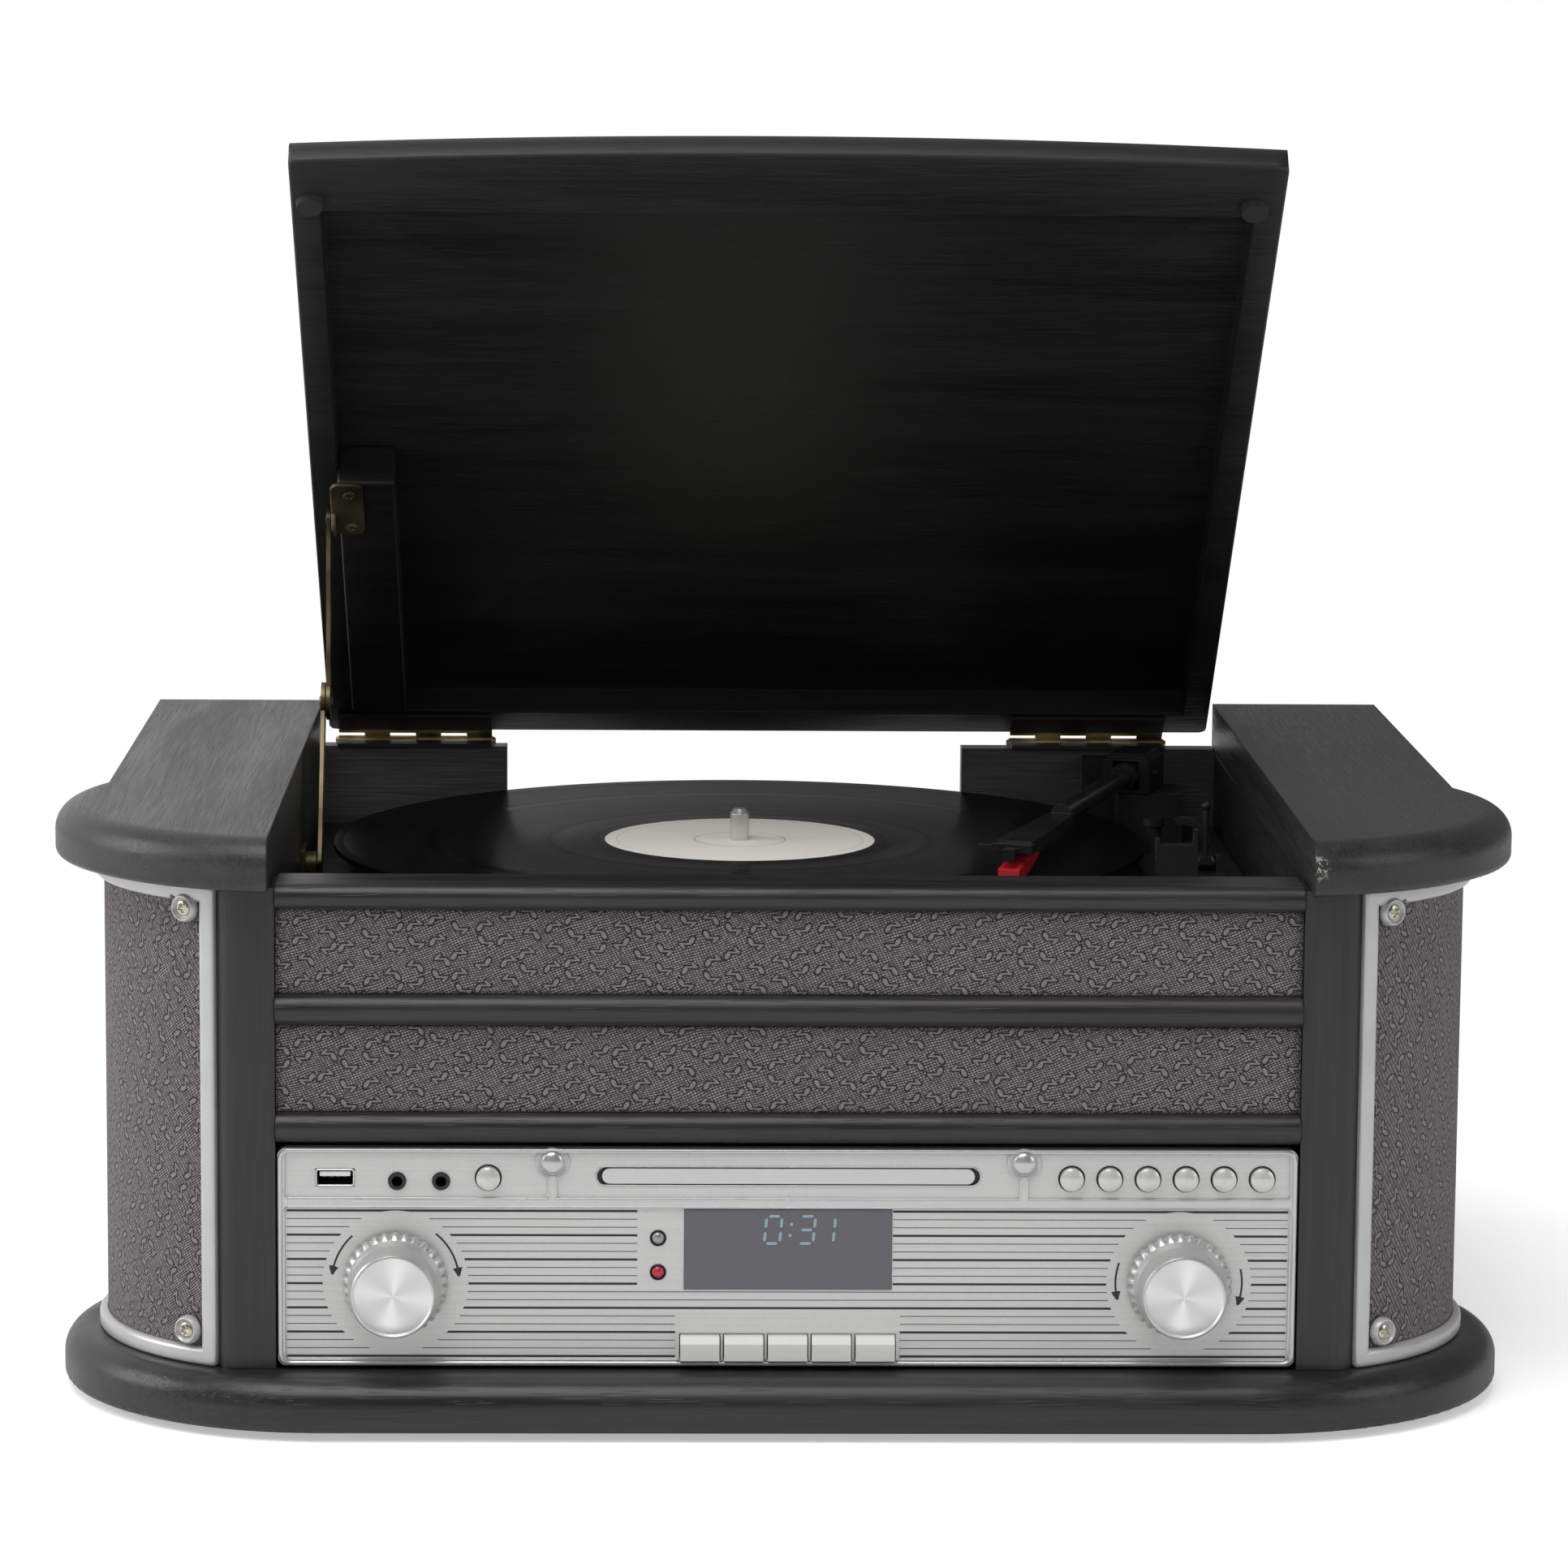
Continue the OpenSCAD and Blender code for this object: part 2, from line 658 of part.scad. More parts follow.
module fascia_plate() difference() {
  upright(fascia_t) plate(2 * fascia_half, fascia_h, fascia_r);
  translate([0, -eps, field_z]) upright(field_d) plate(2 * field_half, field_h, 1);
  translate([0, -eps, 0]) upright(field_d) strip_field();
  translate([0, -1, tray_z]) upright(1 + field_d + 1.4) stadium(recess_w, 2 * slot_r);
  translate([-tray_w / 2 - fit_gap, -1, tray_z - tray_h / 2 - fit_gap])
    cube([tray_w + 2 * fit_gap, fascia_t + 2, tray_h + 2 * fit_gap]);
  translate([-display_w / 2 - seat_gap, -1, display_z - display_h / 2 - seat_gap])
    cube([display_w + 2 * seat_gap, fascia_t + 2, display_h + 2 * seat_gap]);
  for (z = [lens_z, lens_z + lens_pitch]) translate([-lens_x, fascia_t + 1, z]) rotate([90, 0, 0])
    cylinder(r = lens_r + seat_gap, h = fascia_t + 2, $fn = 32);
  for (x = [-knob_x, knob_x]) translate([x, fascia_t + 1, knob_z]) rotate([90, 0, 0])
    cylinder(r = shaft_r + fit_gap, h = fascia_t + 2);
  for (x = concat([function_x], [for (i = [0 : 5]) disc_button(i)]))
    translate([x, fascia_t + 1, round_z]) rotate([90, 0, 0]) cylinder(r = round_bore, h = fascia_t + 2);
  for (i = [0 : 4]) translate([key_x(i) - key_w / 2 - button_gap, -1, key_z - key_h / 2 - button_gap])
    cube([key_w + 2 * button_gap, fascia_t + 2, key_h + 2 * button_gap]);
  translate([usb_x - usb_w / 2 - seat_gap, -1, round_z - usb_h / 2 - seat_gap])
    cube([usb_w + 2 * seat_gap, fascia_t + 2, usb_h + 2 * seat_gap]);
  for (x = [jack_x, jack_x + jack_pitch]) translate([x, fascia_t + 1, round_z - 1.2])
    rotate([90, 0, 0]) cylinder(r = jack_ring + seat_gap, h = fascia_t + 2, $fn = 48);
}

module circuit_post(x, z) translate([x, board_front, z]) rotate([90, 0, 0])
  cylinder(r = post_r, h = board_front - fascia_t + 1, $fn = 32);

module fascia() color([0.74, 0.74, 0.75]) in_place() translate([0, 0, fascia_z]) {
  fascia_plate();
  for (x = [-stud_x, stud_x]) translate([x, 0.5, stud_z]) rotate([90, 0, 0])
    cylinder(r1 = stud_r, r2 = stud_r * 0.55, h = 2.6);
  for (i = [-1 : 4])
    translate([key_x(i) + key_pitch / 2 - rib_w / 2, -rib_out, key_z - key_h / 2])
      cube([rib_w, rib_out + 2.6, key_h]);
  for (x = [-fascia_half, fascia_half - return_w]) translate([x, fascia_t - eps, 6])
    cube([return_w, board_front - fascia_t, fascia_h - 20]);
  for (x = [-post_x, post_x], z = [post_low, post_high]) circuit_post(x, z);
  circuit_post(0, post_mid);
}

module display_window() color([0.3, 0.32, 0.37]) in_place()
  translate([-display_w / 2, field_d - 0.4, fascia_z + display_z - display_h / 2])
    cube([display_w, fascia_t, display_h]);

module indicator_lenses() color([0.7, 0.1, 0.15]) in_place() {
  for (z = [lens_z, lens_z + lens_pitch]) translate([-lens_x, fascia_t + 1, fascia_z + z])
    rotate([90, 0, 0]) {
      cylinder(r = lens_r, h = fascia_t + 0.6, $fn = 32);
      translate([0, 0, fascia_t + 0.6 - eps]) cylinder(r1 = lens_r, r2 = lens_r * 0.5, h = 0.7, $fn = 32);
    }
}

socket_depth = 15;                          // length of the front sockets behind the fascia's field

module front_sockets() color([0.15, 0.15, 0.16]) in_place() translate([0, 0, fascia_z + round_z]) {
  translate([usb_x, field_d - 0.2, 0]) difference() {
    translate([-usb_w / 2, 0, -usb_h / 2]) cube([usb_w, socket_depth, usb_h]);
    translate([-usb_w / 2 + 0.6, -1, -usb_h / 2 + 0.6])
      cube([usb_w - 1.2, socket_depth, usb_h - 1.2]);
  }
  translate([usb_x - usb_w / 2 + 1.4, field_d + 1, 0.7])
    cube([usb_w - 2.8, socket_depth - 1.3, 1.4]);
  for (x = [jack_x, jack_x + jack_pitch]) translate([x, field_d - 0.9, -1.2]) rotate([-90, 0, 0])
    difference() {
      cylinder(r = jack_ring, h = socket_depth + 1, $fn = 48);
      translate([0, 0, -1]) cylinder(r = jack_r, h = socket_depth);
    }
}

// Inner pieces
board_t1 = 1.6;                             // thickness of the circuit board
board_side = 4.4;                           // gap between the board and the fascia's ends
board_low = 4.8;                            // board's lower edge above the fascia's
board_h = 69;                               // height of the circuit board
board_slot_w = tray_w + 14;                 // opening for the disc tray
board_slot_low = tray_z - 6;
switch_t = 2.6;                             // height of the switches on the circuit board
switch_w = 6;                               // width of the switches
control_w = 12;                             // width of the turning controls
control_t = 8;                              // thickness of the turning controls

module circuit_board() color([0.1, 0.35, 0.15]) in_place() translate([0, 0, fascia_z]) {
  difference() {
    translate([board_side - fascia_half, board_front, board_low])
      cube([2 * (fascia_half - board_side), board_t1, board_h]);
    translate([-board_slot_w / 2, board_front - 1, board_slot_low])
      cube([board_slot_w, board_t1 + 2, board_h]);
  }
  for (x = [-knob_x, knob_x]) translate([x, 0, knob_z]) difference() {
    translate([-control_w / 2, board_front - control_t, -control_w / 2])
      cube([control_w, control_t + eps, control_w]);
    translate([0, board_front - 0.6, 0]) rotate([90, 0, 0])
      cylinder(r = shaft_r + run_gap, h = 10);
  }
  for (x = concat([function_x], [for (i = [0 : 5]) disc_button(i)]))
    translate([x - switch_w / 2, board_front - switch_t, round_z - switch_w / 2])
      cube([switch_w, switch_t + eps, switch_w]);
  for (i = [0 : 4])
    translate([key_x(i) - switch_w / 2, board_front - switch_t, key_z - switch_w / 2])
      cube([switch_w, switch_t + eps, switch_w]);
}

iron_w = 44;                                // width of the transformer
iron_l = 60;
iron_h = 40;
iron_foot = 4;                              // thickness of its foot
coil_w = 50;
coil_l = 32;
coil_h = 26;
iron_x = -150;                              // place of its left side
iron_back = 28;                             // distance behind it to the rear panel

module transformer() color([0.45, 0.42, 0.38]) in_place()
  translate([iron_x, cab_depth - rear_t - iron_back - iron_l, plinth_t]) {
    cube([iron_w, iron_l, iron_foot]);
    translate([iron_foot, 6, iron_foot - eps])
      cube([iron_w - 2 * iron_foot, iron_l - 12, iron_h - iron_foot]);
    translate([(iron_w - coil_w) / 2, (iron_l - coil_l) / 2, 2 * iron_foot])
      cube([coil_w, coil_l, coil_h]);
  }

socket_x = 90;                              // centre of the rear socket plate
socket_w = 44;
socket_h = 20;
socket_z = plinth_t + 24;
shell_r = 4.15;                             // outer radius of the phono sockets
shell_out = 6;                              // how far they stand out of the rear panel
phono_x = 11;                               // distance of each from the plate's middle
phono_bore = 1.7;                           // radius of the bore for the plug's pin
inlet_x = -130;                             // centre of the mains inlet
inlet_w = 22;
inlet_h = 14;

module rear_sockets() translate([socket_x, cab_depth - rear_t, socket_z]) {
  difference() {
    translate([-socket_w / 2, 0, -socket_h / 2]) cube([socket_w, rear_t - 1, socket_h]);
    for (x = [-phono_x, phono_x]) translate([x, rear_t + 1, 0]) rotate([90, 0, 0])
      cylinder(r = phono_bore, h = rear_t - 1, $fn = 32);
  }
  for (x = [-phono_x, phono_x]) translate([x, rear_t + shell_out, 0]) rotate([90, 0, 0])
    difference() {
      cylinder(r = shell_r, h = shell_out + 1 + eps, $fn = 48);
      translate([0, 0, -1]) cylinder(r = shell_r - 1, h = shell_out + 2, $fn = 48);
    }
}

module mains_inlet() translate([inlet_x, cab_depth - rear_t, socket_z]) {
  difference() {
    translate([-inlet_w / 2, 0, -inlet_h / 2]) cube([inlet_w, rear_t, inlet_h]);
    translate([0, 2 + rear_t, 0]) rotate([90, 0, 0]) linear_extrude(rear_t) stadium(15, 8);
  }
  for (x = [-3.4, 3.4]) translate([x, rear_t - 1.5, 0]) rotate([90, 0, 0])
    cylinder(r = 1, h = rear_t - 3, $fn = 32);
}

module rear_connectors() color([0.15, 0.15, 0.15]) in_place() {
  rear_sockets();
  mains_inlet();
}

tray_body = tray_h - 0.6;                   // thickness of the tray behind its front
guide_x = tray_w / 2 - 1 + fit_gap;         // inner faces of the tray's guides
mech_front = board_front + board_t1 + 2.4;
mech_back = tray_d + 20;
disc_y = disc_r + 8;                        // distance of the disc's centre from the tray's front
guide_w = 7.5;

module cd_mechanism() color([0.2, 0.2, 0.22]) in_place() translate([0, 0, fascia_z + tray_z]) {
  floor_z = -tray_body / 2 - fit_gap;
  leg_z = plinth_t - fascia_z - tray_z;
  run = mech_back - mech_front;
  translate([-guide_x - guide_w, mech_front, floor_z - 3]) cube([2 * (guide_x + guide_w), run, 3]);
  translate([0, disc_y, floor_z - 21]) cylinder(r = 24, h = 18 + eps);
  mirrored() {
    translate([guide_x, mech_front, floor_z - eps]) cube([guide_w, run, tray_body + 2 * fit_gap + 2.5]);
    translate([guide_x - 3, mech_front, tray_body / 2 + fit_gap]) cube([3 + eps, run, 2.5]);
    for (y = [mech_front + 14, mech_back - 26]) translate([guide_x, y, leg_z])
      cube([guide_w, 12, floor_z - 3 - leg_z + eps]);
  }
  translate([-guide_x - eps, disc_y - 6, tray_body / 2 + fit_gap])
    cube([2 * guide_x + 2 * eps, 12, 2.5]);
}

module cd_tray() color([0.78, 0.78, 0.79]) in_place() translate([0, 0, fascia_z + tray_z])
  difference() {
    union() {
      translate([0, field_d - 0.4, 0]) upright(3) stadium(tray_w, tray_h);
      translate([-tray_w / 2 + 1, field_d + 2, -tray_body / 2])
        cube([tray_w - 2, tray_d - field_d - 2, tray_body]);
    }
    translate([0, disc_y, tray_body / 2 - disc_d])
      cylinder(r = disc_r, h = disc_d + 1, $fn = 128);
    translate([0, disc_y, -tray_h]) cylinder(r = 18, h = 3 * tray_h);
    translate([-12, disc_y, -tray_h]) cube([24, disc_r + 4, 3 * tray_h]);
  }

// Knobs turn on shafts that slide in the controls behind the fascia
knob_back = -1;                             // rear face of a knob's skirt
shaft_end = board_front - 3.4;
module knob() {
  body = knob_l + knob_back;
  bevel = 3.5;
  translate([0, knob_back, 0]) rotate([90, 0, 0]) difference() {
    union() {
      cylinder(r = skirt_r, h = skirt_t, $fn = 96);
      translate([0, 0, skirt_t - eps])
        cylinder(r1 = skirt_r - 1.2, r2 = cap_r + 0.6, h = bevel, $fn = 96);
      translate([0, 0, skirt_t + bevel - 2 * eps])
        cylinder(r1 = cap_r + 0.6, r2 = cap_r, h = body - skirt_t - bevel + 2 * eps, $fn = 96);
    }
    for (i = [0 : flutes - 1]) rotate([0, 0, i * 360 / flutes])
      translate([skirt_r + 0.7, 0, -1]) cylinder(r = 1.5, h = skirt_t + 1.4, $fn = 24);
    translate([0, 0, body - 0.6]) cylinder(r1 = cap_r - 2.2, r2 = cap_r - 1, h = 2, $fn = 96);
    translate([0, 0, -1]) cylinder(r = shaft_r + run_gap, h = body - 4);
  }
}

module shaft() {
  reach = knob_l - 6;
  translate([0, shaft_end, 0]) rotate([90, 0, 0]) cylinder(r = shaft_r, h = shaft_end + reach);
}

module volume_shaft() color([0.6, 0.6, 0.62]) in_place()
  translate([-knob_x, 0, fascia_z + knob_z]) shaft();

module tuning_shaft() color([0.6, 0.6, 0.62]) in_place()
  translate([knob_x, 0, fascia_z + knob_z]) shaft();

module volume_knob() color([0.8, 0.8, 0.81]) in_place()
  translate([-knob_x, 0, fascia_z + knob_z]) knob();

module tuning_knob() color([0.8, 0.8, 0.81]) in_place()
  translate([knob_x, 0, fascia_z + knob_z]) knob();

// Round button: a domed cap in the fascia's bore, a stop flange behind and a stem to its switch
stem_end = board_front - switch_t - press - fit_gap;
module round_button(x) color([0.82, 0.82, 0.83]) in_place()
  translate([x, 0, fascia_z + round_z]) rotate([90, 0, 0]) {
    dome = 1.2;
    sphere_r = (round_r * round_r + dome * dome) / (2 * dome);
    translate([0, 0, -fascia_t - 1]) cylinder(r = round_r, h = fascia_t + 1 + round_out - dome);
    intersection() {
      translate([0, 0, round_out - sphere_r]) sphere(sphere_r, $fn = 96);
      translate([0, 0, round_out - dome - eps]) cylinder(r = round_r - eps, h = dome + 1);
    }
    translate([0, 0, -fascia_t - 1.6]) cylinder(r = round_r + 1.2, h = 1.5, $fn = 48);
    translate([0, 0, -stem_end]) cylinder(r = 1.5, h = stem_end - fascia_t, $fn = 32);
  }

module button_function() round_button(function_x);

module button_play() round_button(disc_button(0));

module button_stop() round_button(disc_button(1));

module button_back() round_button(disc_button(2));

module button_next() round_button(disc_button(3));

module button_record() round_button(disc_button(4));

module button_tray() round_button(disc_button(5));

// Rectangular key with a bevelled upper edge and a stop flange behind
module key(i) color([0.85, 0.85, 0.86]) in_place()
  translate([key_x(i), 0, fascia_z + key_z]) {
    translate([key_w / 2, 0, 0]) rotate([90, 0, -90]) linear_extrude(key_w)
      polygon([[-fascia_t - 1, -key_h / 2], [key_out, -key_h / 2], [key_out, key_h / 2 - 2.4],
        [key_out - 2.2, key_h / 2], [-fascia_t - 1, key_h / 2]]);
    translate([-key_w / 2, fascia_t + seat_gap, -key_h / 2 - 1]) cube([key_w, 1.5, key_h + 2]);
    translate([0, stem_end, 0]) rotate([90, 0, 0]) cylinder(r = 1.5, h = stem_end - fascia_t, $fn = 32);
  }

module key_menu() key(0);

module key_info() key(1);

module key_scan() key(2);

module key_preset() key(3);

module key_enter() key(4);

// Record player
axle_r = 3;                                 // radius of the platter's axle in its bearing
motor_a = -125;                             // direction of the motor from the spindle
drive_r = motor_out + pulley_r + fit_gap;   // radius of the platter's driven face
boss_l = 13;                                // length of the bearing below the deck
motor_l = 24;
motor_r = 16;
motor_pin = 1;                              // radius of the motor's shaft
spindle_tip = 2;                            // length of the spindle's cone
spindle_waist = spindle_r - 0.6;            // radius of the spindle inside the record
mat_low = 3.5;                              // height of the platter's inner plate above its underside
rim_skirt = 4;                              // thickness of the platter's outer rim

module at_spindle(z) {
  translate([spin_x, spin_y, z]) children();
}

module at_motor(z) {
  translate([spin_x + motor_out * cos(motor_a), spin_y + motor_out * sin(motor_a), z]) children();
}

module turntable_deck() color([0.06, 0.06, 0.06]) in_place() difference() {
  union() {
    translate([-inner_fit, pillar_d + seat_gap, deck_z - deck_t])
      cube([2 * inner_fit, cab_depth - rear_t - pillar_d - 2 * seat_gap, deck_t]);
    at_spindle(deck_z - deck_t - boss_l) cylinder(r = 7, h = boss_l + eps);
  }
  at_spindle(deck_z - deck_t - boss_l - 1) cylinder(r = axle_r + run_gap, h = deck_t + boss_l + 2);
  at_motor(deck_z - deck_t - 1) cylinder(r = pulley_r + 2, h = deck_t + 2);
}

module platter() color([0.1, 0.1, 0.1]) in_place() at_spindle(0) {
  rotate_extrude($fn = 128) {
    translate([0, platter_z + mat_low]) square([platter_r - 1, platter_h - mat_low]);
    translate([drive_r, platter_z]) square([5, mat_low + eps]);
    translate([platter_r - rim_skirt, platter_z - 1.5]) square([rim_skirt, platter_h - 0.5]);
    translate([0, platter_z]) square([4 * axle_r, mat_low + eps]);
  }
  translate([0, 0, deck_z - deck_t - boss_l])
    cylinder(r = axle_r, h = platter_lift + deck_t + boss_l + 1);
  translate([0, 0, record_z - 1]) cylinder(r = spindle_waist, h = record_t + 1 + eps);
  translate([0, 0, groove_z]) cylinder(r = spindle_r, h = spindle_h - spindle_tip);
  translate([0, 0, groove_z + spindle_h - spindle_tip - eps])
    cylinder(r1 = spindle_r, r2 = spindle_r - 1.6, h = spindle_tip);
}

module record() color([0.04, 0.04, 0.04]) in_place() at_spindle(record_z) difference() {
  cylinder(r = record_r, h = record_t, $fn = 180);
  translate([0, 0, -1]) cylinder(r = spindle_r + 0.1, h = record_t + 2);
}

module turntable_motor() color([0.5, 0.5, 0.52]) in_place()
  at_motor(deck_z - deck_t - motor_l) difference() {
    cylinder(r = motor_r, h = motor_l);
    translate([0, 0, 2]) cylinder(r = motor_pin + run_gap, h = motor_l, $fn = 32);
  }

module motor_pulley() color([0.75, 0.65, 0.35]) in_place() at_motor(0) {
  translate([0, 0, deck_z - deck_t - motor_l + 3]) cylinder(r = motor_pin, h = motor_l, $fn = 32);
  translate([0, 0, deck_z - deck_t + 1]) cylinder(r = pulley_r, h = deck_t + platter_lift + 2);
}

// Tonearm: everything that swings is drawn along -y and turned to its place over the record
module at_arm(turn = -arm_turn) {
  translate([arm_x, arm_y, 0]) rotate([0, 0, turn]) children();
}

house_w = 18;                               // width of the arm's housing
house_z = tube_z - 6.8;                     // underside of the arm's housing
house_h = 12.6;                             // height of the housing's lower part
house_step = 1.2;                           // height of each of its two upper steps
pivot_r = 1.2;                              // radius of the pin on which the arm is lifted
base_top = house_z - fit_gap;

rest_d = 6;                                 // depth of the arm rest's column
screw_back = 43;                            // place of the set screw in front of the arm's pivot
cue_y = arm_y - 92;                         // place of the cueing lever
cue_x = arm_x + 20;
cue_axis = 5;                               // its pin behind that place and above the deck
cue_pin = 1.5;
arm_rest_x = arm_x + rest_l * sin(park_turn);
arm_rest_y = arm_y - rest_l * cos(park_turn);
shell_low = tube_z - 4.2;                   // underside of the arm's flat front part
rest_w = 15.2;                              // width of the rest's column
rest_post = 1.5;                            // thickness of the post at its right
pin_arm = 3;                                // radius of the pin on which the arm's housing swings
pin_l = 13;                                 // length of that pin below the housing
tower_w = 25;                               // width of the tower that carries the arm
tower_l = 28;                               // depth of that tower
block_x = arm_x - 16.5;                     // left side of the block behind the tower
block_y = arm_y + 20.5;                     // front of that block
block_s = 13.5;                             // width of that block

module arm_base() color([0.05, 0.05, 0.05]) in_place() {
  difference() {
    translate([arm_x - 6, arm_y - 11, deck_z]) cube([tower_w, tower_l, base_top - deck_z]);
    translate([arm_x, arm_y, base_top - pin_l - 1]) cylinder(r = pin_arm + run_gap, h = pin_l + 2);
  }
  translate([block_x, block_y, deck_z])
    cube([block_s, cab_depth - rear_t - block_y - seat_gap, tube_z + 2 - deck_z]);
  translate([block_x, arm_y + 10, deck_z]) cube([12, 12, 6]);
}

module arm_rest() color([0.05, 0.05, 0.05]) in_place() {
  translate([arm_rest_x, arm_rest_y, deck_z]) {
    saddle = shell_low - 2.6 - deck_z;
    translate([-rest_w / 2, -rest_d / 2, 0]) cube([rest_w, rest_d, saddle]);
    translate([-rest_w / 2, -rest_d / 2, saddle - eps]) cube([1.4, rest_d, 2.2]);
    translate([rest_w / 2 - rest_post, -rest_d / 2, saddle - eps]) cube([rest_post, rest_d, 5.6]);
    translate([-8, -7, 0]) cube([cue_x + 15 - arm_rest_x, arm_y - 31 - arm_rest_y, 1.5]);
  }
  translate([arm_x + 5, arm_y - screw_back, deck_z]) cylinder(r = 3, h = 14, $fn = 48);
  translate([arm_x + 5, arm_y - screw_back, deck_z + 12]) cylinder(r = 4, h = 3, $fn = 14);
  for (x = [cue_x - 6, cue_x + 4]) translate([x, cue_y + 1, deck_z]) cube([2, 8, 8]);
  translate([cue_x - 6, cue_y + cue_axis, deck_z + cue_axis]) rotate([0, 90, 0])
    cylinder(r = cue_pin, h = 12, $fn = 32);
}

module arm_housing() color([0.06, 0.06, 0.06]) in_place() at_arm() difference() {
  union() {
    translate([-house_w / 2, -10, house_z]) cube([house_w, 26, house_h]);
    translate([1 - house_w / 2, -9, house_z + house_h - eps]) cube([house_w - 2, 24, house_step]);
    translate([2.4 - house_w / 2, -7.6, house_z + house_h + house_step - 2 * eps])
      cube([house_w - 4.8, 21, house_step]);
    translate([0, 0, house_z - pin_l]) cylinder(r = pin_arm, h = pin_l + eps);
  }
  translate([-5.2, -11, house_z + 1.4]) cube([10.4, 20, 11]);
  translate([-house_w, 0, tube_z]) rotate([0, 90, 0])
    cylinder(r = pivot_r + run_gap, h = 2 * house_w, $fn = 32);
}

shell_from = 112;                           // distance from the pivot at which the tube turns flat
shell_h = 4.6;                              // thickness of the arm's flat front part
neck_w = 4.5;                               // half width of that part where it leaves the tube
nose_w = 6.4;                               // half width of that part at the cartridge

module tonearm() color([0.07, 0.07, 0.07]) in_place() at_arm() translate([0, 0, tube_z]) {
  translate([0, -6, 0]) rotate([90, 0, 0]) cylinder(r = tube_r, h = shell_from - 4);
  translate([0, -10.6, 0]) rotate([90, 0, 0]) cylinder(r = 5.4, h = 4, $fn = 8);
  translate([-4.8, -6.5, -4.6]) cube([9.6, 13, 9.2]);
  translate([-house_w / 2 - 1, 0, 0]) rotate([0, 90, 0]) cylinder(r = pivot_r, h = house_w + 2, $fn = 32);
  translate([0, 0, shell_low - tube_z]) linear_extrude(shell_h)
    polygon([[-neck_w, -shell_from], [neck_w, -shell_from], [nose_w, 26 - arm_l], [nose_w, 6 - arm_l],
      [-nose_w, 6 - arm_l], [-nose_w, 26 - arm_l]]);
  translate([0, -arm_l + 10, -3.6]) rotate([0, 0, -shell_turn]) {
    translate([-7.5, -7, 0]) cube([15, 4, 3.2]);
    translate([-2.2, -10, -2.6]) cube([4.4, 5, 4.4]);
    translate([-12.5, -7, 1]) cube([6, 3, 1.6]);
  }
}

module cartridge() color([0.75, 0.08, 0.12]) in_place() at_arm() translate([0, -arm_l + 10, tube_z])
  rotate([0, 0, -shell_turn]) translate([-4, 0, 0]) rotate([90, 0, 90]) linear_extrude(8)
    polygon([[-3, -4.2], [13, -4.2], [13, -6.5], [2, -arm_over + stylus_gap + 1],
      [-5, -arm_over + stylus_gap], [-10, -arm_over + stylus_gap], [-9.5, -9.2], [-3, -7.2]]);

cue_h = 22;                                 // height of the cueing lever's rod

module cue_lever() color([0.1, 0.1, 0.1]) in_place() translate([cue_x, cue_y, deck_z + cue_axis]) {
  difference() {
    union() {
      translate([-3.5, cue_axis, 0]) rotate([0, 90, 0]) cylinder(r = 2 * cue_pin, h = 7, $fn = 48);
      translate([-2, -1.1, 0]) cube([4, 5, 3]);
    }
    translate([-8, cue_axis, 0]) rotate([0, 90, 0]) cylinder(r = cue_pin + run_gap, h = 16, $fn = 32);
  }
  cylinder(r = 1.1, h = cue_h, $fn = 32);
  translate([0, 0, cue_h]) sphere(1.8, $fn = 32);
  translate([-8.5, 0, 8]) rotate([90, 0, 0]) rotate_extrude(angle = 110, $fn = 64)
    translate([7, -0.8]) square([3, 1.6]);
}

// Lid, drawn closed in the hinge's frame: y towards the back, z up from the hinge axis
module at_hinge() {
  in_place() translate([0, axis_y, axis_z]) rotate([-lid_open, 0, 0]) children();
}

recess_l = lid_l - rim_rear - rim_front;
block_low = -3.8;                           // underside of the block that carries the lid stay
block_u = 173;                              // distance of the block's front end from the hinge axis
block_l = 147.4;
block_w = 20.9;

// Lid seen from its side, with a rounded upper front edge
module lid_side() {
  front = -lid_u - lid_l;
  translate([front + lid_nose, 0]) square([lid_l - lid_nose, lid_t]);
  translate([front, 0]) square([lid_nose + eps, lid_t - lid_nose]);
  intersection() {
    translate([front + lid_nose, lid_t - lid_nose]) circle(lid_nose, $fn = 128);
    translate([front - 1, lid_t - lid_nose - eps]) square(lid_nose + 1 + eps);
  }
}

module lid_blank() translate([-lid_half, 0, lid_w]) rotate([90, 0, 90])
  linear_extrude(2 * lid_half) lid_side();

module lid() color([0.07, 0.07, 0.07]) at_hinge() {
  difference() {
    lid_blank();
    translate([-lid_half + rim_side, -lid_u - rim_rear - recess_l, lid_w - 1])
      cube([2 * (lid_half - rim_side), recess_l, lid_recess + 1]);
  }
  translate([-lid_half + rim_side - eps, -block_u, block_low])
    cube([block_w, block_l, lid_w + lid_recess - block_low + eps]);
}

bumper_front = 27.2;                        // distance of the bumpers behind the lid's front edge

module lid_bumpers() color([0.05, 0.05, 0.05]) at_hinge() {
  bumper_u = lid_u + lid_l - bumper_front;
  for (x = [bumper_left - lid_half, lid_half - bumper_right])
    translate([x, -bumper_u, lid_w - lid_gap + fit_gap])
      cylinder(r1 = bumper_r - 0.6, r2 = bumper_r, h = lid_gap - fit_gap, $fn = 48);
}

// Hinges: six knuckles each, by turns on the post and on the lid, on one pin
hinge_l = 6 * knuckle_l;
leaf_l = 14;                                // reach of the leaves in front of the pin
leaf_root = 3;                              // length of the tongues between plate and knuckles
hinge_left = (notch_left - well_half) / 2 - hinge_l / 2;
hinge_right = (notch_right + well_half) / 2 - hinge_l / 2;

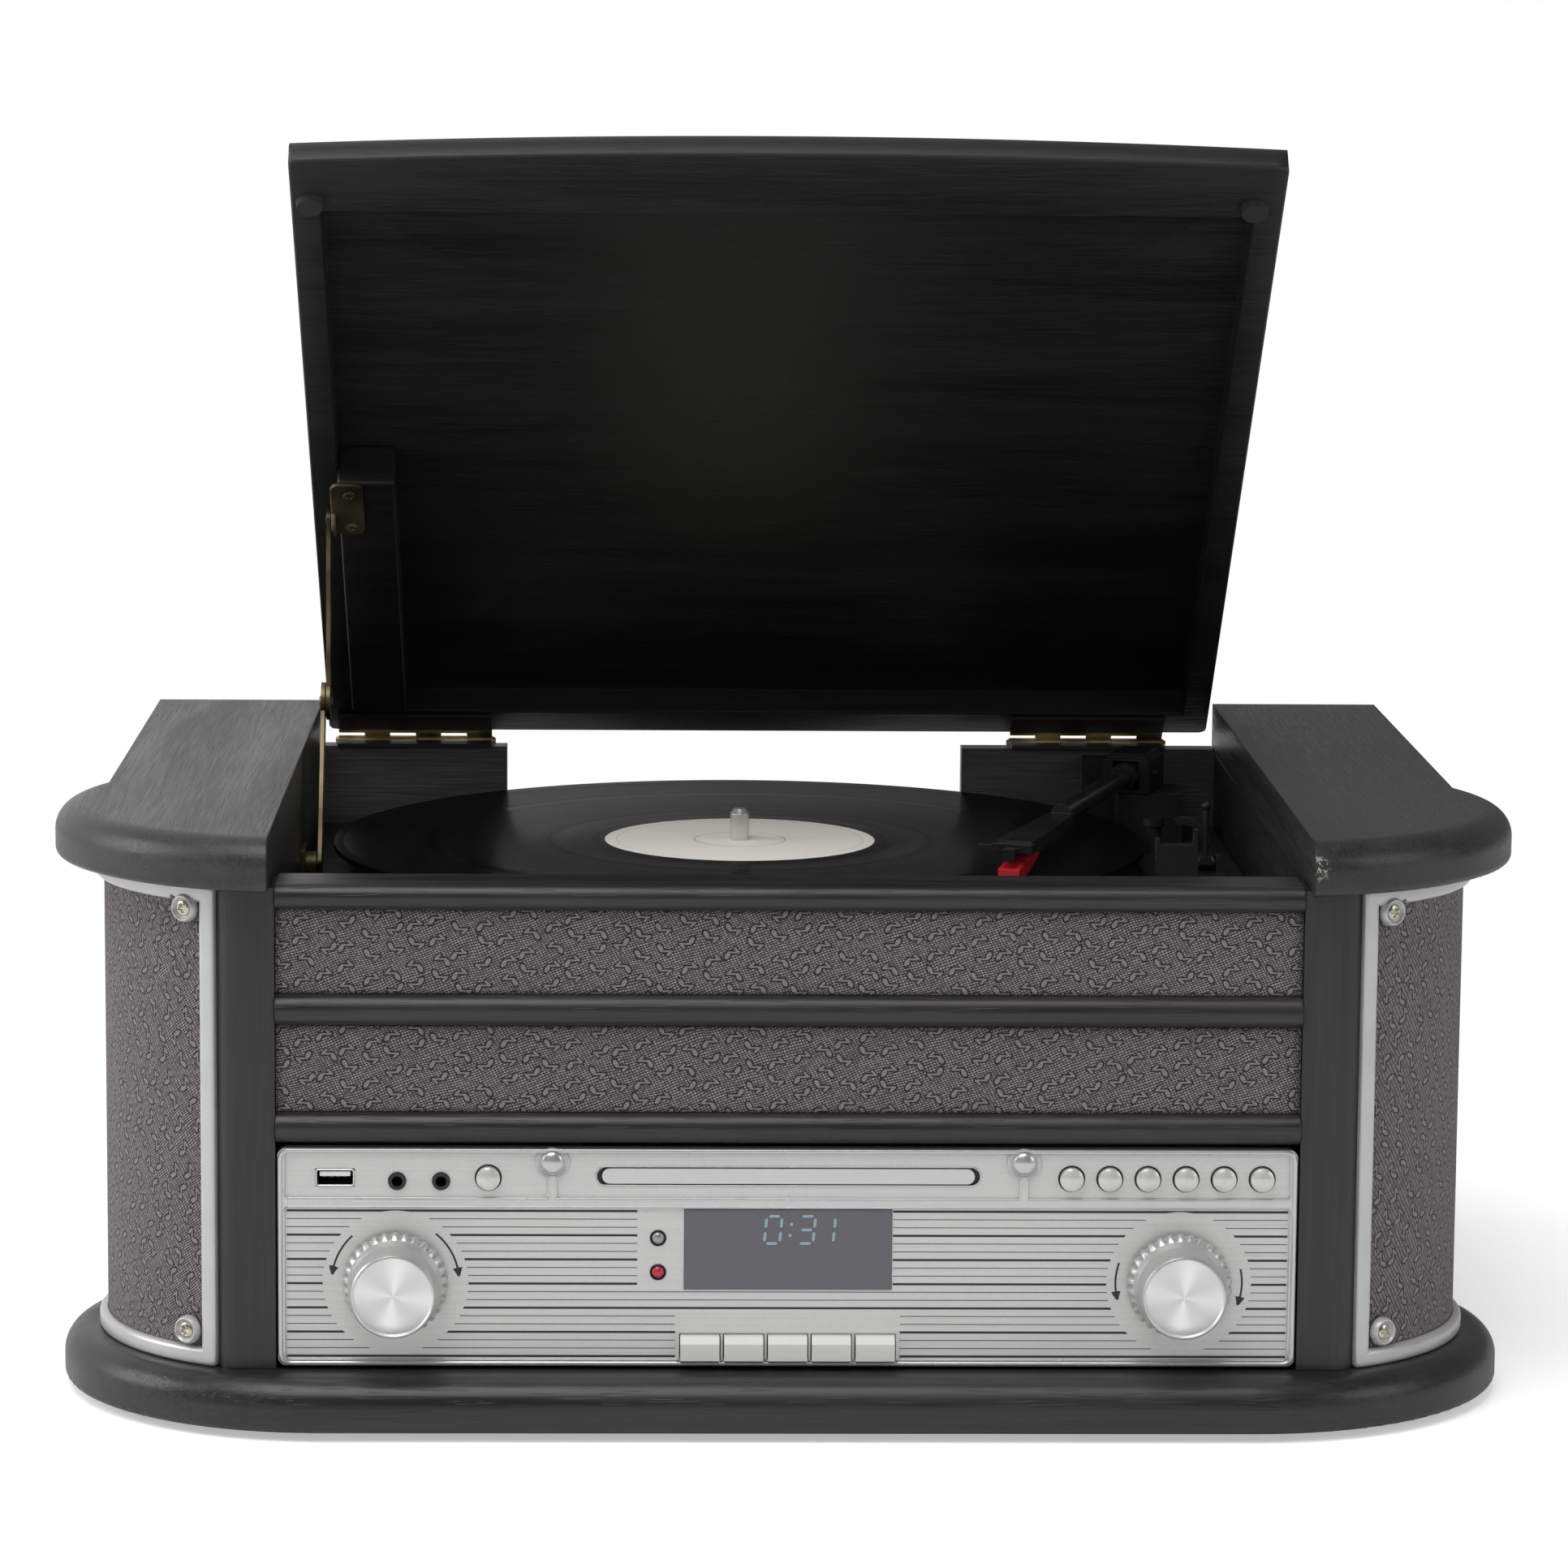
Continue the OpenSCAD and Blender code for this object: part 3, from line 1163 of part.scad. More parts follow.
module knuckles(first, bore) {
  for (i = [first, first + 2, first + 4]) translate([i * knuckle_l + run_gap, 0, 0]) rotate([0, 90, 0])
    difference() {
      cylinder(r = knuckle_r, h = knuckle_l - 2 * run_gap, $fn = 48);
      if (bore > 0) translate([0, 0, -1]) cylinder(r = bore, h = knuckle_l + 2, $fn = 48);
    }
}

// Leaf plate with a tongue to each of its knuckles
module leaf(first, bore, z0) difference() {
  union() {
    translate([0, -leaf_l, z0]) cube([hinge_l, leaf_l - leaf_root, leaf_t]);
    for (i = [first, first + 2, first + 4]) translate([i * knuckle_l + run_gap, -leaf_root - 0.1, z0])
      cube([knuckle_l - 2 * run_gap, leaf_root + 0.1, leaf_t]);
    knuckles(first, 0);
  }
  if (bore > 0) translate([-1, 0, 0]) rotate([0, 90, 0]) cylinder(r = bore, h = hinge_l + 2, $fn = 48);
}

module hinge_leaves_lower() color([0.5, 0.42, 0.25]) in_place()
  for (x = [hinge_left, hinge_right]) translate([x, axis_y, axis_z]) {
    leaf(0, 0, -leaf_t / 2);
    rotate([0, 90, 0]) cylinder(r = pin_r, h = hinge_l, $fn = 48);
    translate([hinge_l + 0.05, 0, 0]) rotate([0, 90, 0]) cylinder(r1 = knuckle_r, r2 = 1, h = 1.4, $fn = 48);
    translate([hinge_l - 1, 0, 0]) rotate([0, 90, 0]) cylinder(r = pin_r, h = 2, $fn = 48);
    translate([-1.35, 0, 0]) rotate([0, 90, 0]) cylinder(r1 = 1, r2 = knuckle_r, h = 1.4 + eps, $fn = 48);
  }

module hinge_leaves_upper() color([0.5, 0.42, 0.25]) at_hinge()
  for (x = [hinge_left, hinge_right]) translate([x, 0, 0])
    leaf(1, pin_r + run_gap, lid_w - leaf_t);

// Lid stay: its pivots in the y-z plane follow from the lid's place and the two link lengths
function rot_x(p, a) = [p[0] * cos(a) - p[1] * sin(a), p[0] * sin(a) + p[1] * cos(a)];
function elbow(b, a, low, up) =
  let (d = norm(a - b), k = (low * low - up * up + d * d) / (2 * d), s = sqrt(low * low - k * k),
    e = (a - b) / d)
  b + k * e + s * [e[1], -e[0]];
stay_low = [stay_y, deck_z + stay_z];
stay_top = [axis_y, axis_z] + rot_x([-stay_u, -stay_w], -lid_open);
stay_mid = elbow(stay_low, stay_top, link_low, link_up);
slack = 0.4;                                // side gap between the stay's pieces
low_x = -well_half + 5.8;                   // left face of the lower link
up_x = low_x + link_t + slack;              // left face of the upper link
plate_x = up_x + link_t + slack;            // left face of the lid plate's ear
stay_pin = 1.5;

module at_stay(p, x) {
  in_place() translate([x, p[0], p[1]]) children();
}

module link(from, to, x) {
  span = to - from;
  turn = atan2(span[1], span[0]);
  at_stay(from, x) rotate([turn, 0, 0]) rotate([90, 0, 90]) {
    translate([0, -link_w / 2, 0]) cube([norm(span), link_w, link_t]);
    for (u = [0, norm(span)]) translate([u, 0, 0]) cylinder(d = link_w, h = link_t, $fn = 48);
  }
}

module stay_lower_link() color([0.52, 0.44, 0.27]) difference() {
  union() {
    link(stay_low, stay_mid, low_x);
    at_stay(stay_mid, low_x) rotate([0, 90, 0]) cylinder(r = washer_r, h = link_t, $fn = 48);
    at_stay(stay_mid, low_x - 0.8) rotate([0, 90, 0]) cylinder(r1 = 1.6, r2 = 2.6, h = 0.9, $fn = 32);
  }
  at_stay(stay_low, low_x - 1) rotate([0, 90, 0])
    cylinder(r = stay_pin + run_gap, h = link_t + 2, $fn = 48);
}

module stay_upper_link() color([0.52, 0.44, 0.27]) difference() {
  union() {
    link(stay_mid, stay_top, up_x);
    at_stay(stay_mid, up_x) rotate([0, 90, 0]) cylinder(r = washer_r, h = link_t, $fn = 48);
    at_stay(stay_mid, up_x + link_t - 0.1) rotate([0, 90, 0])
      cylinder(r1 = 2.6, r2 = 1.6, h = 0.9, $fn = 32);
  }
  at_stay(stay_top, up_x - 1) rotate([0, 90, 0])
    cylinder(r = stay_pin + run_gap, h = link_t + 2, $fn = 48);
}

module stay_wall_bracket() color([0.52, 0.44, 0.27]) at_stay(stay_low, -well_half) {
  translate([0, -10, -stay_z + 0.2]) cube([link_t, 20, stay_z + 6]);
  rotate([0, 90, 0]) cylinder(r = 4.5, h = low_x + well_half - slack, $fn = 48);
  rotate([0, 90, 0]) cylinder(r = stay_pin, h = low_x + well_half + link_t, $fn = 48);
}

module stay_lid_plate() color([0.52, 0.44, 0.27]) at_hinge() {
  face = block_low - link_t;
  translate([plate_x, -block_u, face]) cube([12, 30, link_t]);
  for (u = [block_u - 6, stay_u - 3]) translate([plate_x + 7, -u, face - 0.8])
    cylinder(r1 = 1.6, r2 = 2.4, h = 0.8 + eps, $fn = 32);
  translate([plate_x, -stay_u, -stay_w]) rotate([0, 90, 0]) cylinder(r = 6, h = link_t, $fn = 48);
  translate([up_x - 0.5, -stay_u, -stay_w]) rotate([0, 90, 0])
    cylinder(r = stay_pin, h = plate_x - up_x + 0.6, $fn = 48);
}

base_board();
feet();
rear_panel();
side_walls();
well_walls();
pillars();
top_board_left();
top_board_right();
front_board();
front_rails();
front_cloths();
speaker_baffles();
speaker_cloths();
speaker_frames();
frame_screws();
speaker_drivers();
fascia();
display_window();
indicator_lenses();
front_sockets();
circuit_board();
transformer();
cd_mechanism();
rear_connectors();
turntable_deck();
turntable_motor();
arm_base();
arm_rest();
hinge_leaves_lower();
stay_wall_bracket();
platter();
record();
motor_pulley();
arm_housing();
tonearm();
cartridge();
cue_lever();
lid();
lid_bumpers();
hinge_leaves_upper();
stay_lid_plate();
stay_upper_link();
stay_lower_link();
cd_tray();
volume_shaft();
volume_knob();
tuning_shaft();
tuning_knob();
button_function();
button_play();
button_stop();
button_back();
button_next();
button_record();
button_tray();
key_menu();
key_info();
key_scan();
key_preset();
key_enter();
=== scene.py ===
import functools
import math
import bpy
import numpy as np
from mathutils import Matrix, Vector


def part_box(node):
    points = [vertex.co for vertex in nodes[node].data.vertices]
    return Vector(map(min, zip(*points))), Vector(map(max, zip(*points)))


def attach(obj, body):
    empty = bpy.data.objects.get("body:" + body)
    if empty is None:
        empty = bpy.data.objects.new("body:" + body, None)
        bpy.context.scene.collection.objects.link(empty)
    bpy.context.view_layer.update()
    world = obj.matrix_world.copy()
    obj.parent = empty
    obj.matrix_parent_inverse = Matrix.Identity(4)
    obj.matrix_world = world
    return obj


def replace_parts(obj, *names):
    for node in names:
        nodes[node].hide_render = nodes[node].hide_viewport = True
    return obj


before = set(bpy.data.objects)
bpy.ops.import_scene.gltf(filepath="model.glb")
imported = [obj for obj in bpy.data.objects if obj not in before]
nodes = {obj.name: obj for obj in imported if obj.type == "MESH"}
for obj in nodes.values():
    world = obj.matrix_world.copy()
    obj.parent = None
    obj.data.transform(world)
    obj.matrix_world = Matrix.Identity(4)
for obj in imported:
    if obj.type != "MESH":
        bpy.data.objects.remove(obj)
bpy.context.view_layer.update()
scene = bpy.context.scene
print("stage: frame loaded")

# sizes shared by several pieces, in metres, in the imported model's frame
cabinet = dict(frontY=-0.167, lobeX=0.1582, lobeY=-0.093, knobX=0.1327, knobZ=0.0511, fasciaZ=0.0222,
               fasciaH=0.0751, fasciaHalf=0.1724, spindle=(-0.0135, 0.039), lidAngle=math.radians(42.4),
               hingeY=0.1732, hingeZ=0.1881)


# camera as the photograph has it
cameraView = dict(place=(-0.0526, -2.0682, 0.5049), yaw=1.5054, down=8.4629, roll=-0.453, lens=132.06)


def makeCamera(c):
    yaw, down, roll = (math.radians(c[k]) for k in ("yaw", "down", "roll"))
    ahead = Vector((math.sin(yaw) * math.cos(down), math.cos(yaw) * math.cos(down), -math.sin(down)))
    right = Vector((math.cos(yaw), -math.sin(yaw), 0))
    below = ahead.cross(right)
    side = right * math.cos(roll) + below * math.sin(roll)
    under = below * math.cos(roll) - right * math.sin(roll)
    data = bpy.data.cameras.new("photoCamera")
    data.lens = c["lens"]
    data.sensor_width = 36
    data.clip_start, data.clip_end = 0.05, 50
    camera = bpy.data.objects.new("photoCamera", data)
    turn = Matrix((side, -under, -ahead)).transposed().to_4x4()
    camera.matrix_world = Matrix.Translation(c["place"]) @ turn
    scene.collection.objects.link(camera)
    scene.camera = camera


makeCamera(cameraView)


# shorthands for shader nodes: a shaderValue is one output in a tree, and the signs + - * / ** % > < and abs()
# on such values add math nodes
class shaderValue:
    def __init__(self, tree, socket):
        self.tree, self.socket = tree, socket

    def __abs__(self):
        return calc("ABSOLUTE", self)


def addSign(mark, op):
    setattr(shaderValue, "__%s__" % mark, lambda a, b: calc(op, a, b))
    setattr(shaderValue, "__r%s__" % mark, lambda a, b: calc(op, b, a))


for mark, op in dict(add="ADD", sub="SUBTRACT", mul="MULTIPLY", truediv="DIVIDE", pow="POWER", mod="MODULO",
                     gt="GREATER_THAN", lt="LESS_THAN").items():
    addSign(mark, op)


def wire(value, socket):
    if isinstance(value, shaderValue):
        value.tree.links.new(value.socket, socket)
    elif socket.type == "RGBA" and len(value) == 3:
        socket.default_value = (*value, 1)
    else:
        socket.default_value = value


def feed(inputs, **values):
    for name, value in values.items():
        wire(value, inputs[name.replace("_", " ")])


# a node of the given kind: in_Name and atNumber set its inputs, any other word one of its settings
def put(tree, kind, **values):
    made = tree.nodes.new(kind)
    for name, value in values.items():
        if name.startswith("in_"):
            feed(made.inputs, **{name[3:]: value})
        elif name.startswith("at"):
            wire(value, made.inputs[int(name[2:])])
        else:
            setattr(made, name, value)
    return made


def give(tree, kind, out=0, **values):
    return shaderValue(tree, put(tree, kind, **values).outputs[out])


def calc(op, *values):
    tree = next(v.tree for v in values if isinstance(v, shaderValue))
    return give(tree, "ShaderNodeMath", operation=op, **{"at%d" % k: v for k, v in enumerate(values)})


def scaled(vector, by):
    return give(vector.tree, "ShaderNodeVectorMath", operation="MULTIPLY", at0=vector, at1=by)


def shifted(vector, by):
    return give(vector.tree, "ShaderNodeVectorMath", operation="ADD", at0=vector, at1=by)


def turned(vector, angles):
    return give(vector.tree, "ShaderNodeVectorRotate", rotation_type="EULER_XYZ", in_Vector=vector,
                in_Rotation=angles)


def parts(vector):
    return [shaderValue(vector.tree, s) for s in put(vector.tree, "ShaderNodeSeparateXYZ", at0=vector).outputs]


def joined(x, y, z=0.0):
    return give(x.tree, "ShaderNodeCombineXYZ", at0=x, at1=y, at2=z)


def distance(a, b):
    return calc("SQRT", a * a + b * b)


def noise(vector, size, detail=2.0, rough=0.5, warp=0.0):
    return give(vector.tree, "ShaderNodeTexNoise", in_Vector=vector, in_Scale=size, in_Detail=detail,
                in_Roughness=rough, in_Distortion=warp)


def ease(value, low, high, first=0.0, last=1.0):
    return give(value.tree, "ShaderNodeMapRange", interpolation_type="SMOOTHSTEP", at0=value, at1=low, at2=high,
                at3=first, at4=last)


def blendOf(amount, a, b):
    return give(amount.tree, "ShaderNodeMix", 2, data_type="RGBA", at0=amount, at6=a, at7=b)


def both(*masks):
    return functools.reduce(lambda a, b: a * b, masks)


def either(*masks):
    return functools.reduce(lambda a, b: calc("MAXIMUM", a, b), masks)


# masks with a soft edge: a below b, and value between low and high
def less(a, b, soft=0.0001):
    return ease(a - b, -soft, soft, 1.0, 0.0)


def within(value, low, high, soft=0.00008):
    return less(abs(value - (low + high) / 2), (high - low) / 2, soft)


def tinted(colour, by):
    return tuple(min(c * by, 1.0) for c in colour)


def ray(tree, kind):
    return give(tree, "ShaderNodeLightPath", "Is %s Ray" % kind)


# ins gives each number's starting value, and none for a vector; every output is a number
def newGroup(name, ins, outs):
    tree = bpy.data.node_groups.new(name, "ShaderNodeTree")
    for label, start in ins.items():
        kind = "NodeSocketVector" if start is None else "NodeSocketFloat"
        socket = tree.interface.new_socket(label, in_out="INPUT", socket_type=kind)
        if start is not None:
            socket.default_value = start
    for label in outs:
        tree.interface.new_socket(label, in_out="OUTPUT", socket_type="NodeSocketFloat")
    entry = tree.nodes.new("NodeGroupInput")
    leave = tree.nodes.new("NodeGroupOutput")
    return tree, {s.name: shaderValue(tree, s) for s in entry.outputs}, leave.inputs


def use(tree, group, **values):
    made = tree.nodes.new("ShaderNodeGroup")
    made.node_tree = group
    feed(made.inputs, **values)
    return {s.name: shaderValue(tree, s) for s in made.outputs}


# long fine streaks with open pores, the grain that shows through thin black paint; X runs along the grain
def makeGrain():
    tree, i, o = newGroup("woodGrain", dict(Vector=None, Size=1.0), ("Shade", "Height"))
    v = give(tree, "ShaderNodeVectorMath", operation="SCALE", at0=i["Vector"], in_Scale=i["Size"])
    wide = noise(scaled(v, (5, 60, 60)), 1.0, 3.0, 0.6, 0.4)
    fine = noise(scaled(v, (30, 900, 900)), 1.0, 2.0, 0.6)
    pores = ease(noise(scaled(v, (60, 1500, 1500)), 1.0, 0.0), 0.64, 0.74)
    wire(wide * 0.6 + fine * 0.4, o["Shade"])
    wire(fine * 0.5 - pores * 0.7, o["Height"])
    return tree


# sparse pale specks of dust and short hair-like marks
def makeDust():
    tree, i, o = newGroup("dustSpecks", dict(Vector=None, Spread=120.0), ("Mask",))
    cell = put(tree, "ShaderNodeTexVoronoi", in_Vector=i["Vector"], in_Scale=i["Spread"], in_Randomness=1.0)
    away, colour = (shaderValue(tree, cell.outputs[k]) for k in ("Distance", "Color"))
    near = ease(away, 0.015, 0.035, 1.0, 0.0)
    lucky = ease(parts(colour)[0], 0.90, 0.93)
    wire(both(near, lucky), o["Mask"])
    return tree


# even soft mottling, for moulded and lacquered surfaces
def makeMottle():
    tree, i, o = newGroup("mottle", dict(Vector=None, Size=300.0), ("Fine", "Broad"))
    wire(noise(i["Vector"], i["Size"], 3.0, 0.6), o["Fine"])
    wire(noise(i["Vector"], i["Size"] * 0.06, 2.0, 0.5), o["Broad"])
    return tree


# very fine parallel scratches along X
def makeBrushed():
    tree, i, o = newGroup("brushedLines", dict(Vector=None, Along=8.0, Across=2600.0), ("Height", "Shade"))
    across = joined(i["Along"], i["Across"], i["Across"])
    lines = noise(scaled(i["Vector"], across), 1.0, 2.0, 0.6)
    wire(lines, o["Height"])
    wire(ease(lines, 0.3, 0.7), o["Shade"])
    return tree


# twill: ribs on a slant, cut into single threads; the vector is the cloth's own, in metres
def makeWeave():
    tree, i, o = newGroup("twillWeave", dict(Vector=None, Thread=0.0008, Slant=0.75), ("Height", "Thread tone"))
    x, y, _ = parts(i["Vector"])
    wave = noise(i["Vector"], 60.0, 1.0)
    bent = y + (wave - 0.5) * 0.004
    ribs = (bent - x * i["Slant"]) / i["Thread"]
    row = calc("FLOOR", ribs)
    lane = abs(calc("SINE", ribs * math.pi))
    steps = x / (i["Thread"] * 1.1) + row * 0.37
    beads = abs(calc("SINE", steps * math.pi))
    wire(lane ** 0.7 * beads ** 0.45, o["Height"])
    cell = joined(calc("FLOOR", steps), row)
    wire(give(tree, "ShaderNodeTexWhiteNoise", noise_dimensions="2D", in_Vector=cell), o["Thread tone"])
    return tree


# one small quaver in each cell, turned at random: a leaning oval head, a stem and a slanted tail
noteShape = dict(cellX=0.0070, cellY=0.0076, strayX=0.0016, strayY=0.0018, head=(-0.00105, -0.0015),
                 headR=(0.00120, 0.00088), stem=(0.0001, 0.0003, 0.00030, 0.0021), tail=0.00042)


def makeNotes(s):
    tree, i, o = newGroup("wovenNotes", dict(Vector=None), ("Mask", "Edge shade"))
    x, y, _ = parts(i["Vector"])
    row = calc("FLOOR", y / s["cellY"])
    offset = row % 3.0 * 0.333
    across = x / s["cellX"] + offset
    column = calc("FLOOR", across)
    r, g, b = parts(give(tree, "ShaderNodeTexWhiteNoise", "Color", noise_dimensions="2D",
                         in_Vector=joined(column, row)))
    # place in the cell, moved and mirrored by the cell's own dice
    localX = (calc("FRACT", across) - 0.5) * s["cellX"] + (r - 0.5) * s["strayX"]
    localY = (calc("FRACT", y / s["cellY"]) - 0.5) * s["cellY"] + (g - 0.5) * s["strayY"]
    px = localX * ((r > 0.5) * 2.0 - 1.0)
    py = localY * ((b > 0.35) * 2.0 - 1.0)
    hx = (px - s["head"][0]) / s["headR"][0]
    hy = (py - s["head"][1] - px * 0.35) / s["headR"][1]
    head = (distance(hx, hy) - 1.0) * s["headR"][1]
    cx, cy, wx, wy = s["stem"]
    stem = calc("MAXIMUM", abs(px - cx) - wx, abs(py - cy) - wy)
    # the tail runs on a slant from the stem's upper end: u is across it, w along it
    tipY = cy + wy * 0.8
    u = px - cx + (py - tipY)
    w = px - cx - (py - tipY)
    tail = calc("MAXIMUM", abs(u) - s["tail"] * 1.4, abs(w - 0.0016) - 0.0015)
    gap = calc("MINIMUM", calc("MINIMUM", head, stem), tail)
    wire(ease(gap, -0.0001, 0.00014, 1.0, 0.0), o["Mask"])
    # a band round each note, which the cloth paints dark as painted shade round the raised note
    wire(ease(gap, 0.00040, 0.00060, 1.0, 0.0), o["Edge shade"])
    return tree


grainGroup, dustGroup, mottleGroup = makeGrain(), makeDust(), makeMottle()
brushedGroup, weaveGroup, notesGroup = makeBrushed(), makeWeave(), makeNotes(noteShape)


def newMaterial(name, colour, rough, metal=0.0, coat=0.0, sheen=0.0, level=0.5):
    made = bpy.data.materials.new(name)
    made.use_nodes = True
    tree = made.node_tree
    shader = tree.nodes["Principled BSDF"].inputs
    feed(shader, Base_Color=colour, Roughness=rough, Metallic=metal, Coat_Weight=coat, Coat_Roughness=0.25,
         Sheen_Weight=sheen, Specular_IOR_Level=level)
    return made, tree, shader, give(tree, "ShaderNodeTexCoord", "Object")


# relief on the surface; edge rounds the shading of sharp edges by that radius
def bump(tree, shader, height, distance, strength=1.0, edge=0.0):
    made = put(tree, "ShaderNodeBump", in_Height=height, in_Distance=distance, in_Strength=strength)
    if edge:
        rounded = put(tree, "ShaderNodeBevel", samples=4, in_Radius=edge)
        tree.links.new(rounded.outputs[0], made.inputs["Normal"])
    tree.links.new(made.outputs[0], shader["Normal"])


# black satin paint over wood; turn lays the grain along the piece, chip is the place of a worn corner; lift above 1
# paints light into the colour and below 1 paints shade, a lighter or darker copy of the same paint
paintLook = dict(dark=(0.014, 0.0134, 0.013), light=(0.031, 0.0298, 0.0288), dust=(0.32, 0.31, 0.29),
                 bare=(0.62, 0.60, 0.56), chipR=0.0046, rough=(0.29, 0.41), relief=0.00010, edge=0.0008)


def makePaint(name, turn=(0, 0, 0), look=paintLook, lift=1.0, rough=None, chip=None):
    made, tree, shader, here = newMaterial(name, look["dark"], 0.45)
    grain = use(tree, grainGroup, Vector=turned(here, turn), Size=1.0)
    dust = use(tree, dustGroup, Vector=here, Spread=150.0)["Mask"]
    tone = blendOf(ease(grain["Shade"], 0.3, 0.7), tinted(look["dark"], lift), tinted(look["light"], lift))
    tone = blendOf(dust * 0.55, tone, look["dust"])
    if chip:
        away = give(tree, "ShaderNodeVectorMath", 1, operation="DISTANCE", at0=here, at1=chip)
        ragged = ease(noise(here, 520.0, 3.0, 0.7), 0.54, 0.60)
        bare = both(less(away, look["chipR"], 0.003), ragged)
        tone = blendOf(bare * 0.8, tone, look["bare"])
    wire(tone, shader["Base Color"])
    low, high = rough or look["rough"]
    wire(ease(grain["Shade"], 0.3, 0.7, low, high), shader["Roughness"])
    bump(tree, shader, grain["Height"], look["relief"], 0.8, edge=look["edge"])
    return made


# woven speaker cloth: own UV map in metres
clothLook = dict(dark=(0.010, 0.007, 0.008), mid=(0.165, 0.140, 0.143), pale=(0.48, 0.44, 0.44),
                 figure=(0.27, 0.235, 0.24))


def makeCloth(name, slant, thread, turn, look=clothLook):
    made, tree, shader, _ = newMaterial(name, look["mid"], 0.85, sheen=0.15)
    own = give(tree, "ShaderNodeTexCoord", "UV")
    weave = use(tree, weaveGroup, Vector=own, Thread=thread, Slant=slant)
    notes = use(tree, notesGroup, Vector=turned(own, (0, 0, turn)))
    ground = blendOf(ease(weave["Height"], 0.4, 0.7), look["dark"], look["mid"])
    ground = blendOf(weave["Thread tone"] * 0.55, ground,
                     blendOf(ease(weave["Height"], 0.3, 0.85), look["dark"], look["pale"]))
    # painted shade: a dark rim round each note, where the raised note meets the weave
    shade = blendOf(notes["Edge shade"] * 0.97, ground, look["dark"])
    figure = blendOf(ease(weave["Height"], 0.0, 0.7), look["mid"], look["figure"])
    wire(blendOf(notes["Mask"], shade, figure), shader["Base Color"])
    height = weave["Height"] * 0.5 + (notes["Mask"] * 0.9 - notes["Edge shade"] * 0.5)
    bump(tree, shader, height, 0.00045, 1.0)
    return made


# one even colour: size and vary give its soft mottling, dust the share of pale specks on it
def makePlain(name, colour, rough, metal=0.0, coat=0.0, size=300.0, vary=0.12, relief=0.00002, level=0.5,
              dust=0.0):
    made, tree, shader, here = newMaterial(name, colour, rough, metal, coat, level=level)
    spots = use(tree, mottleGroup, Vector=here, Size=size)
    tone = blendOf(ease(spots["Broad"], 0.3, 0.7), tinted(colour, 1 - vary), tinted(colour, 1 + vary))
    if dust:
        mask = use(tree, dustGroup, Vector=here, Spread=260.0)["Mask"]
        tone = blendOf(mask * dust, tone, (0.4, 0.39, 0.37))
    wire(tone, shader["Base Color"])
    wire(ease(spots["Broad"], 0.3, 0.7, rough * 0.85, rough * 1.15), shader["Roughness"])
    bump(tree, shader, spots["Fine"], relief, 0.5, edge=0.0003)
    return made


# satin knob: the cap's face is spun; its sheen is painted into the colour, a face lighter than the skirt with
# brighter rays round the middle
def makeSpun(name, x0, colour=(0.64, 0.64, 0.635)):
    capR, capFace = 0.0133, 0.0195
    made, tree, shader, here = newMaterial(name, colour, 0.30, metal=0.6)
    x, y, z = parts(shifted(here, (-x0, 0, -cabinet["knobZ"])))
    far = distance(x, z)
    onFace = both(less(far, capR, 0.0002), less(y, cabinet["frontY"] - capFace, 0.0003))
    rays = give(tree, "ShaderNodeVectorMath", operation="NORMALIZE", at0=joined(z * -1.0, 0.0, x))
    wire(rays, shader["Tangent"])
    wire(onFace * 0.85, shader["Anisotropic"])
    rings = noise(joined(far * 5200.0, 0.0), 1.0, 2.0)
    # painted sheen: the face is painted lighter in four rays, a cosine of four times the angle, from 0 to 1,
    # sharpened
    sheenRays = (calc("COSINE", calc("ARCTAN2", z, x) * 4.0 + 0.6) * 0.5 + 0.5) ** 1.6
    spots = use(tree, mottleGroup, Vector=here, Size=1500.0)
    face = blendOf(sheenRays, tinted(colour, 1.10), tinted(colour, 1.38))
    wire(blendOf(onFace, tinted(colour, 0.94), face), shader["Base Color"])
    wire(ease(onFace, 0.0, 1.0, 0.30, 0.27), shader["Roughness"])
    bump(tree, shader, rings * onFace + spots["Fine"] * 0.6, 0.000012, 0.5)
    return made


# silver fascia: brushed lacquer, printed lines in threes, blank rings with arc arrows round the knobs
stripes = dict(top=0.07568, pitch=0.002794, count=19, thick=0.00040, thin=0.00014, ring=0.0246, arrowR=0.0215,
               arrowW=0.00034, ink=(0.022, 0.022, 0.023), silver=(0.65, 0.65, 0.642), faceY=-0.1669, reach=0.1694,
               displayX=(-0.0510, 0.0355), keysX=0.0381,
               arcs=((-1, ((132.5, 173.5), (50.7, 5.0))), (1, ((161.0, 195.8), (13.2, -20.9)))))


